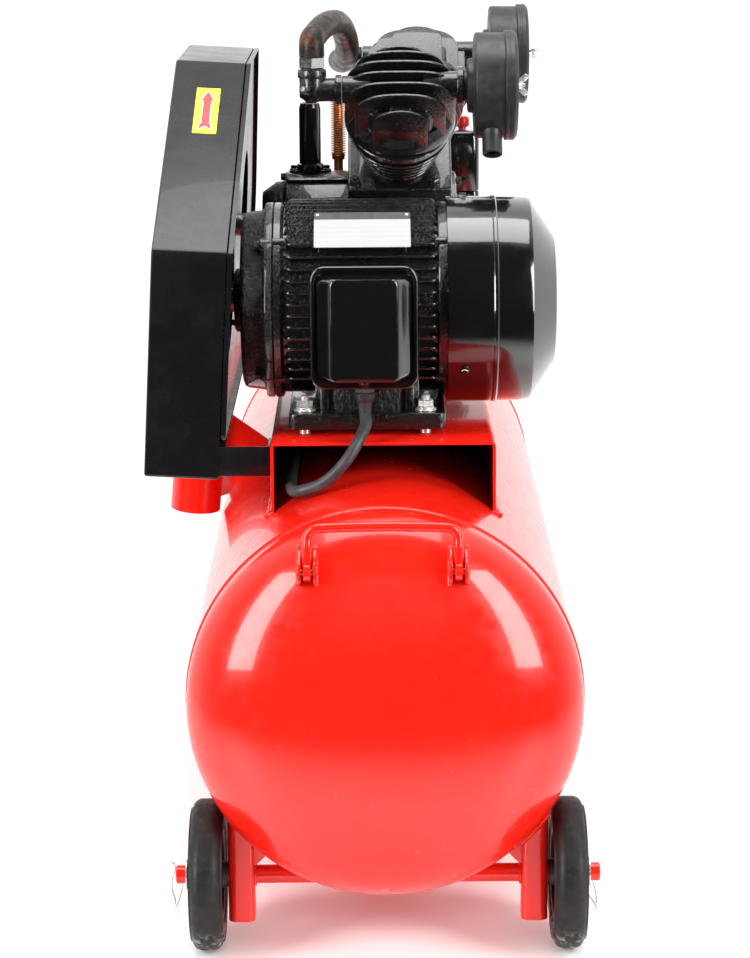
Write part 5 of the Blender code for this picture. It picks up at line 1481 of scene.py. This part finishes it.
def wing_nut():
    """Round hub with two thin wings, standing on z = 0."""
    hub = turned([(0, 0.0), (0.0055, 0.0), (0.0048, 0.0070), (0.0038, 0.0080), (0, 0.0080)],
                 "Z", 28)
    parts = [hub, rod(0.0026, 0.0, 0.0115, steps=20, chamfer=0.0005)]
    wing = fillet([(0.0030, 0.0010), (0.0085, 0.0040), (0.0150, 0.0110), (0.0115, 0.0165),
                   (0.0060, 0.0120), (0.0030, 0.0075)], 0.0028)
    for sign in (-1, 1):
        blade = softened(prism([(sign * a, b) for a, b in wing], -0.0010, 0.0010, "Y"), 0.0004)
        parts.append(blade)
    return together(*parts)


def air_filter(end):
    """Moulded drum with a stepped cap, an intake snout and a wing nut."""
    sign = -1 if end == "front" else 1
    if end == "front":
        x, y, z = 0.0, PUMP_Y - 0.195, 0.938
    else:
        x, y, z = FILTER_SHIFT, PUMP_Y + 0.195, 0.945
    place = at(x, y, z)
    profile = [(0, 0.1000), (0.0180, 0.1000), (0.0185, 0.1005), (0.0185, 0.1035),
               (0.0300, 0.1045), (0.0320, 0.1055), (0.0330, 0.1110), (0.0600, 0.1125),
               (0.0622, 0.1135), (0.0630, 0.1155), (0.0625, 0.1478), (FILTER_R - 0.0006, 0.1486),
               (FILTER_R, 0.1494), (FILTER_R, 0.1520), (FILTER_R - 0.0005, 0.1526),
               (FILTER_R - 0.0005, 0.1545), (FILTER_R, 0.1550), (FILTER_R, 0.1592),
               (FILTER_R - 0.0010, 0.1604), (0.0610, 0.1632), (0.0590, 0.1635),
               (0.0400, 0.1635), (0.0385, 0.1625), (0.0150, 0.1625), (0.0140, 0.1635),
               (0, 0.1635)]
    snout = turned([(0.0095, -0.0780), (0.0095, -0.0898), (0.0112, -0.0900), (0.0120, -0.0892),
                    (0.0120, -0.0700), (0.0128, -0.0640), (0.0150, -0.0560), (0.0095, -0.0560)],
                   "Z", 48, closed=True)
    stop = rod(0.0096, -0.0790, -0.0780, steps=32)
    spout = moved(together(snout, stop), turn=(SNOUT_TILT * sign, 0, 0))
    moved(spout, (0.1330, 0, 0))
    whole = together(turned(profile[::-1], "X", 128), spout)
    piece(f"air_filter_{end}", whole, FILTER, place=place, stands_for=[f"filter_{end}"],
          sharp=30)
    nut = moved(wing_nut(), turn=(0, math.pi / 2, 0))
    moved(nut, turn=(math.radians(20 if end == "front" else 60), 0, 0))
    piece(f"filter_wing_nut_{end}", nut, ZINC, place=place + Vector((0.1625, 0, 0)), sharp=40)


def discharge():
    """Elbow with its union nut, the arched hot pipe and the finned copper cooler."""
    x, y, z = ELBOW
    run = turned([(0, -0.0462), (0.0175, -0.0462), (0.0175, -0.0530), (0.0165, -0.0540),
                  (0.0140, -0.0545), (0.0140, x), (0.0130, x - 0.0090), (0.0090, x - 0.0150),
                  (0, x - 0.0160)], "X", 56)
    heel = turned([(0.0150, 0.0150), (0.0152, 0.0), (0.0140, -0.0085), (0.0085, -0.0142),
                   (0, -0.0155)], "Z", 56)
    moved(heel, (x, 0, 0))
    riser = turned([(0, 0.0100), (0.0153, 0.0100), (0.0153, 0.0140), (0.0168, 0.0146),
                    (0.0172, 0.0155), (0.0172, 0.0235), (0.0166, 0.0245), (0.0150, 0.0250),
                    (0, 0.0250)], "Z", 56)
    moved(riser, (x, 0, 0))
    nut = moved(hexagon(0.0300, 0.0255, 0.0400, chamfer=0.0014), (x, 0, 0))
    piece("discharge_elbow_casting", together(run, heel, riser, nut), CAST, place=at(0, y, z),
          stands_for=["discharge_elbow"], sharp=38)
    route = [(x, y, z + 0.0400), (x, y, z + 0.0560), (-0.0790, 0.3960, 0.9960),
             (-0.0670, 0.4400, 1.0064), (-0.0540, 0.4950, 1.0066), (-0.0455, 0.5550, 0.9930),
             (-0.0410, 0.6200, 0.9690), (-0.0450, 0.7000, 0.9450), (-0.0500, 0.7350, 0.9400),
             (-0.0520, 0.7560, 0.9400), (-0.0470, 0.7740, 0.9400), (-0.0370, 0.7800, 0.9400),
             (PORT_ENDS["rear"] - 0.0010, 0.7800, 0.9400)]
    arch = swept([at(*p) for p in route], HOT_PIPE_R, sides=36, spacing=0.004)
    piece("discharge_pipe", arch, BURNT, stands_for=["discharge_tube"], sharp=50)
    cx = -0.0540
    route = [(cx, 0.6680, 0.9200), (cx, 0.6680, 0.8400), (cx, 0.6680, 0.7300),
             (cx, 0.6720, 0.6400), (cx, 0.7200, 0.5980), (cx, 0.7800, 0.5900),
             (cx, 0.8100, 0.5700), (cx, 0.8150, 0.5300)]
    parts = [swept([at(*p) for p in route], 0.0060, sides=24, spacing=0.005)]
    fins = 27
    for k in range(fins):
        disc = turned([(0.0055, -0.0006), (0.0098, -0.0005), (0.0101, 0.0), (0.0098, 0.0005),
                       (0.0055, 0.0006)], "Z", 40, closed=True)
        parts.append(moved(disc, at(cx, 0.6680, 0.8240 + 0.0030 * k)))
    for low in (0.8180, 0.9045):
        parts.append(moved(hexagon(0.0165, 0.0, 0.008), at(cx, 0.6680, low)))
    piece("finned_cooler_pipe", together(*parts), COPPER, stands_for=["cooler_tube"], sharp=40)


def breather():
    """Crankcase breather tube with its hexagon base."""
    profile = [(0, 0.0690), (0.0175, 0.0690), (0.0175, 0.0760), (0.0165, 0.0778),
               (0.0138, 0.0790), (0.0138, 0.1480), (0.0132, 0.1500), (0.0120, 0.1550),
               (0.0100, 0.1550), (0.0100, 0.1520), (0, 0.1520)]
    flange = softened(prism(rounded(0.0270, 0.0125, 0.011, 5), 0.0640, 0.0705, "Z"), 0.001)
    parts = [turned(profile, "Z", 56), flange]
    for sign in (-1, 1):
        parts.append(bolt(0.0075, 0.0045, 0.0, place=(sign * 0.0212, 0, 0.0705)))
    piece("breather_tube", together(*parts), BLACK, place=at(-0.0890, PUMP_Y, PUMP_Z),
          stands_for=["breather"], sharp=34)


# -------------------------------------------------------------- receiver fittings
RISER_X = SWITCH_X - 0.030
RISER_Y = 0.912


def manifold():
    """Riser with hexagon fittings, the outlet valve and a plain dial gauge."""
    place = at(RISER_X, RISER_Y, 0)
    base = TANK_Z + rise(RISER_X) - 0.004
    riser = turned([(0, base), (0.0170, base), (0.0170, base + 0.0180), (0.0150, base + 0.0205),
                    (0.0105, base + 0.0210), (0.0105, 0.8000), (0.0155, 0.8010),
                    (0.0160, 0.8020), (0.0160, 0.8190), (0.0150, 0.8200), (0, 0.8200)], "Z", 56)
    parts = [riser]
    for low in (base + 0.030, 0.560, 0.640, 0.700, 0.776):
        parts.append(hexagon(0.0260, low, low + 0.014))
    parts.append(moved(rod(0.0080, 0.0, 0.030, "X", 36), (0, 0, 0.788)))
    valve = turned([(0, 0), (0.0098, 0), (0.0098, 0.022), (0.0150, 0.0225), (0.0160, 0.0240),
                    (0.0160, 0.0440), (0.0150, 0.0455), (0.0098, 0.046), (0.0098, 0.062),
                    (0.0075, 0.062), (0.0075, 0.052), (0, 0.052)], "Y", 56)
    parts.append(moved(valve, (0, 0, 0.620)))
    parts.append(moved(hexagon(0.0200, 0.0465, 0.0540, "Y"), (0, 0, 0.620)))
    piece("outlet_riser", together(*parts), BRASS, place=place, stands_for=["outlet_manifold"],
          sharp=34)
    lever = rod(0.0075, 0.0163, 0.0240, steps=40, chamfer=0.0008)
    blade = fillet([(-0.006, 0.0), (0.006, 0.0), (0.0072, 0.052), (0.0, 0.060),
                    (-0.0072, 0.052)], 0.004)
    grip = softened(prism(blade, 0.0200, 0.0240, "Z"), 0.0012, 3)
    piece("valve_lever_grip", together(lever, grip), RED_PLASTIC, "valve_lever",
          at(RISER_X, RISER_Y + 0.034, 0.620), ["outlet_lever"])
    face = 0.040
    dial = turned([(0, face - 0.014), (0.0190, face - 0.014), (0.0205, face - 0.012),
                   (0.0205, face), (0.0190, face + 0.0010), (0.0182, face - 0.0005),
                   (0, face - 0.0005)][::-1], "X", 64)
    neck = rod(0.0060, 0.0, face - 0.013, "X", 28)
    gauge_place = at(RISER_X, RISER_Y, 0.725)
    piece("gauge_case", together(dial, neck), BLACK, place=gauge_place)
    white = Shader("dial_face", "zinc", (0.82, 0.82, 0.80), 0.35, coat=0.6)
    white.tint(white.range(white.noise(200.0), 0.5, 0.8, 0.0, 0.2), (0.6, 0.6, 0.58))
    disc = rod(0.0180, face - 0.0005, face + 0.0001, "X", 56)
    piece("gauge_dial", disc, white.material, place=gauge_place)
    marks = []
    for k in range(21):
        angle = math.radians(-135 + 13.5 * k)
        long_mark = k % 5 == 0
        mark = slab((face + 0.0001, -0.0003, 0.0125 if long_mark else 0.0145),
                    (face + 0.0003, 0.0003, 0.0168))
        marks.append(moved(mark, turn=(angle, 0, 0)))
    needle = prism([(-0.0008, -0.004), (0.0008, -0.004), (0.0, 0.0140)], face + 0.0006,
                   face + 0.0010, "X")
    marks.append(moved(needle, turn=(math.radians(150), 0, 0)))
    marks.append(rod(0.0018, face, face + 0.0014, "X", 24))
    piece("gauge_marks", together(*marks), HUB, place=gauge_place)


def switch():
    """Pressure switch: softly rounded cover on its base, with a red pull knob."""
    place = at(SWITCH_X, SWITCH_Y, 0)
    cover = [(0.0215, 0.0280, 0.0090, 0.7545), (0.0225, 0.0290, 0.0100, 0.7560),
             (0.0225, 0.0290, 0.0100, 0.8230), (0.0220, 0.0285, 0.0100, 0.8285),
             (0.0205, 0.0270, 0.0095, 0.8330), (0.0180, 0.0245, 0.0090, 0.8352),
             (0.0120, 0.0180, 0.0060, 0.8360)]
    body = lofted(cover, 7, lambda a, b, t: (a, b, t))
    foot = softened(prism(rounded(0.0222, 0.0287, 0.009, 5), 0.7420, 0.7535, "Z"), 0.001)
    screw = bolt(0.007, 0.002, 0.0, (math.pi / 2, 0, 0), (0.0, -0.0288, 0.7720))
    piece("pressure_switch_case", together(body, foot, screw), BLACK, place=place,
          stands_for=["pressure_switch"], sharp=40)
    knob = turned([(0, 0.8364), (0.0050, 0.8364), (0.0055, 0.8370), (0.0055, 0.8392),
                   (0.0085, 0.8398), (0.0090, 0.8406), (0.0090, 0.8510), (0.0082, 0.8530),
                   (0.0065, 0.8540), (0, 0.8540)], "Z", 48)
    ribs = spread(12, (0.0084, -0.0007, 0.8412), (0.0096, 0.0007, 0.8508), 0.0003, 1, "Z")
    piece("pull_knob", together(knob, *ribs), RED_PLASTIC, "knob", place, ["switch_knob"])


def safety_valve():
    """Brass relief valve with its hexagon and pull ring."""
    place = at(RISER_X, RISER_Y, 0)
    body = turned([(0, 0.8203), (0.0100, 0.8203), (0.0100, 0.8300), (0.0085, 0.8305),
                   (0.0085, 0.8400), (0.0080, 0.8410), (0.0080, 0.8590), (0.0065, 0.8620),
                   (0, 0.8620)], "Z", 48)
    nut = hexagon(0.0205, 0.8300, 0.8395)
    holes = [moved(rod(0.0016, 0.0, 0.0084, "X", 12), (0, 0, 0.850), (0, 0, TURN * k / 4))
             for k in range(4)]
    piece("relief_valve_body", together(body, nut, *holes), BRASS, place=place,
          stands_for=["safety_valve"])
    loop = moved(ring(0.0085, 0.0011, "Y", 48, 12), (0, 0, 0.8790))
    stem = rod(0.0028, 0.8623, 0.8710, steps=24, chamfer=0.0004)
    piece("relief_pull_ring", together(loop, stem), ZINC, "relief_ring", place, ["safety_ring"])


def drain():
    """Condensate drain with its wing key."""
    place = at(0, PUMP_Y, 0)
    top = TANK_Z - TANK_R - 0.0003
    body = turned([(0, top), (0.0120, top), (0.0120, top - 0.009), (0.0105, top - 0.0100),
                   (0.0085, top - 0.0110), (0.0085, top - 0.0210), (0.0078, top - 0.0220),
                   (0, top - 0.0220)], "Z", 48)
    nut = hexagon(0.0180, top - 0.0190, top - 0.0120)
    piece("drain_body", together(body, nut), BRASS, place=place, stands_for=["drain_valve"])
    key_top = top - 0.0224
    knob = rod(0.0060, key_top - 0.010, key_top, steps=32, chamfer=0.0006)
    wings = softened(prism(rounded(0.0150, 0.0035, 0.003, 4, (0, key_top - 0.0065)),
                           -0.0015, 0.0015, "Y"), 0.0006)
    piece("drain_wing_key", together(knob, wings), BRASS, "drain_wing", place, ["drain_key"])


# ---------------------------------------------------------------- camera and light
LENS = 104.989
CAMERA_AT = (0.0070, -3.5640, 1.2382)
CAMERA_TURN = (1.3422, 0.0067, -0.0024)
FLOOR_R = 1.60
FLOOR_FADE = 1.05                        # where the floor starts to fade out
FLOOR_AT = (0.0, 0.15, -0.0005)


def camera():
    data = bpy.data.cameras.new("camera")
    data.lens = LENS
    data.sensor_width = 36.0
    data.clip_end = 60.0
    cam = bpy.data.objects.new("camera", data)
    cam.location = CAMERA_AT
    cam.rotation_euler = CAMERA_TURN
    bpy.context.scene.collection.objects.link(cam)
    bpy.context.scene.camera = cam


def softbox(name, place, aim, width, height, power):
    data = bpy.data.lights.new(name, "AREA")
    data.shape = "RECTANGLE"
    data.size = width
    data.size_y = height
    data.energy = power
    lamp = bpy.data.objects.new(name, data)
    lamp.location = place
    lamp.rotation_euler = (Vector(aim) - Vector(place)).to_track_quat("-Z", "Y").to_euler()
    bpy.context.scene.collection.objects.link(lamp)
    return lamp


def studio():
    """Pale seamless floor, bright surroundings behind and at the sides, two softboxes."""
    world = bpy.data.worlds.new("studio")
    bpy.context.scene.world = world
    world.use_nodes = True
    nodes, links = world.node_tree.nodes, world.node_tree.links
    back = nodes["Background"]
    place = nodes.new("ShaderNodeTexCoord")
    split = nodes.new("ShaderNodeSeparateXYZ")
    links.new(place.outputs["Generated"], split.inputs["Vector"])
    depth = nodes.new("ShaderNodeMapRange")
    for key, number in (("From Min", -0.45), ("From Max", 0.35), ("To Min", 0.02), ("To Max", 1.0)):
        depth.inputs[key].default_value = number
    depth.interpolation_type = "SMOOTHSTEP"
    links.new(split.outputs["Y"], depth.inputs["Value"])
    path = nodes.new("ShaderNodeLightPath")
    seen = nodes.new("ShaderNodeMix")
    links.new(path.outputs["Is Camera Ray"], seen.inputs["Factor"])
    links.new(depth.outputs["Result"], seen.inputs["A"])
    seen.inputs["B"].default_value = 1.0
    back.inputs["Color"].default_value = (1.0, 1.0, 1.0, 1.0)
    links.new(seen.outputs["Result"], back.inputs["Strength"])

    floor_material = bpy.data.materials.new("studio_floor")
    floor_material.use_nodes = True
    shader = floor_material.node_tree.nodes["Principled BSDF"]
    shader.inputs["Base Color"].default_value = (0.93, 0.93, 0.93, 1.0)
    shader.inputs["Roughness"].default_value = 0.30
    floor_nodes, floor_links = floor_material.node_tree.nodes, floor_material.node_tree.links
    spot = floor_nodes.new("ShaderNodeTexCoord")
    reach = floor_nodes.new("ShaderNodeVectorMath")
    reach.operation = "LENGTH"
    floor_links.new(spot.outputs["Object"], reach.inputs[0])
    fade = floor_nodes.new("ShaderNodeMapRange")
    fade.interpolation_type = "SMOOTHSTEP"
    for key, number in (("From Min", FLOOR_FADE), ("From Max", FLOOR_R), ("To Min", 1.0),
                        ("To Max", 0.0)):
        fade.inputs[key].default_value = number
    floor_links.new(reach.outputs["Value"], fade.inputs["Value"])
    floor_links.new(fade.outputs["Result"], shader.inputs["Alpha"])
    bm = bmesh.new()
    bmesh.ops.create_circle(bm, cap_ends=True, segments=96, radius=FLOOR_R)
    mesh = bpy.data.meshes.new("studio_floor")
    bm.to_mesh(mesh)
    bm.free()
    mesh.materials.append(floor_material)
    floor = bpy.data.objects.new("studio_floor", mesh)
    floor.location = FLOOR_AT
    bpy.context.scene.collection.objects.link(floor)

    for name, x in (("left_softbox", -2.3), ("right_softbox", 2.3)):
        softbox(name, (x, -2.1, 1.50), (0, -0.4, 0.45), 1.0, 2.4, 85)
    fill = softbox("front_fill", (0.0, -4.2, 2.3), (0, 0, 0.45), 3.2, 2.0, 36)
    fill.visible_glossy = False
    softbox("overhead", (0.0, -0.2, 3.2), (0, 0, 0.5), 2.4, 1.6, 55)
    bpy.context.scene.view_settings.view_transform = "Standard"
    bpy.context.scene.view_settings.exposure = 0.25


# ------------------------------------------------------------------------ build
def build():
    for make in (camera, studio, receiver):
        make()
    for end in ENDS:
        for side in SIDES:
            leg(end, side)
            wheel(end, side)
    carrying_handle()
    for side in SIDES:
        handle_lug(side)
    for make in (bridge, guard_cover, guard_plate, sticker, guard_post, motor_frame, nameplate,
                 motor_endshield, fan_cowl, terminal_box, cable_gland, motor_cable, motor_bolts,
                 rotor, drive_belts, flywheel, crankcase):
        make()
    for end in ENDS:
        for make in (cylinder, cylinder_head, piston, air_filter):
            make(end)
    for make in (discharge, breather, manifold, switch, safety_valve, drain):
        make()


build()
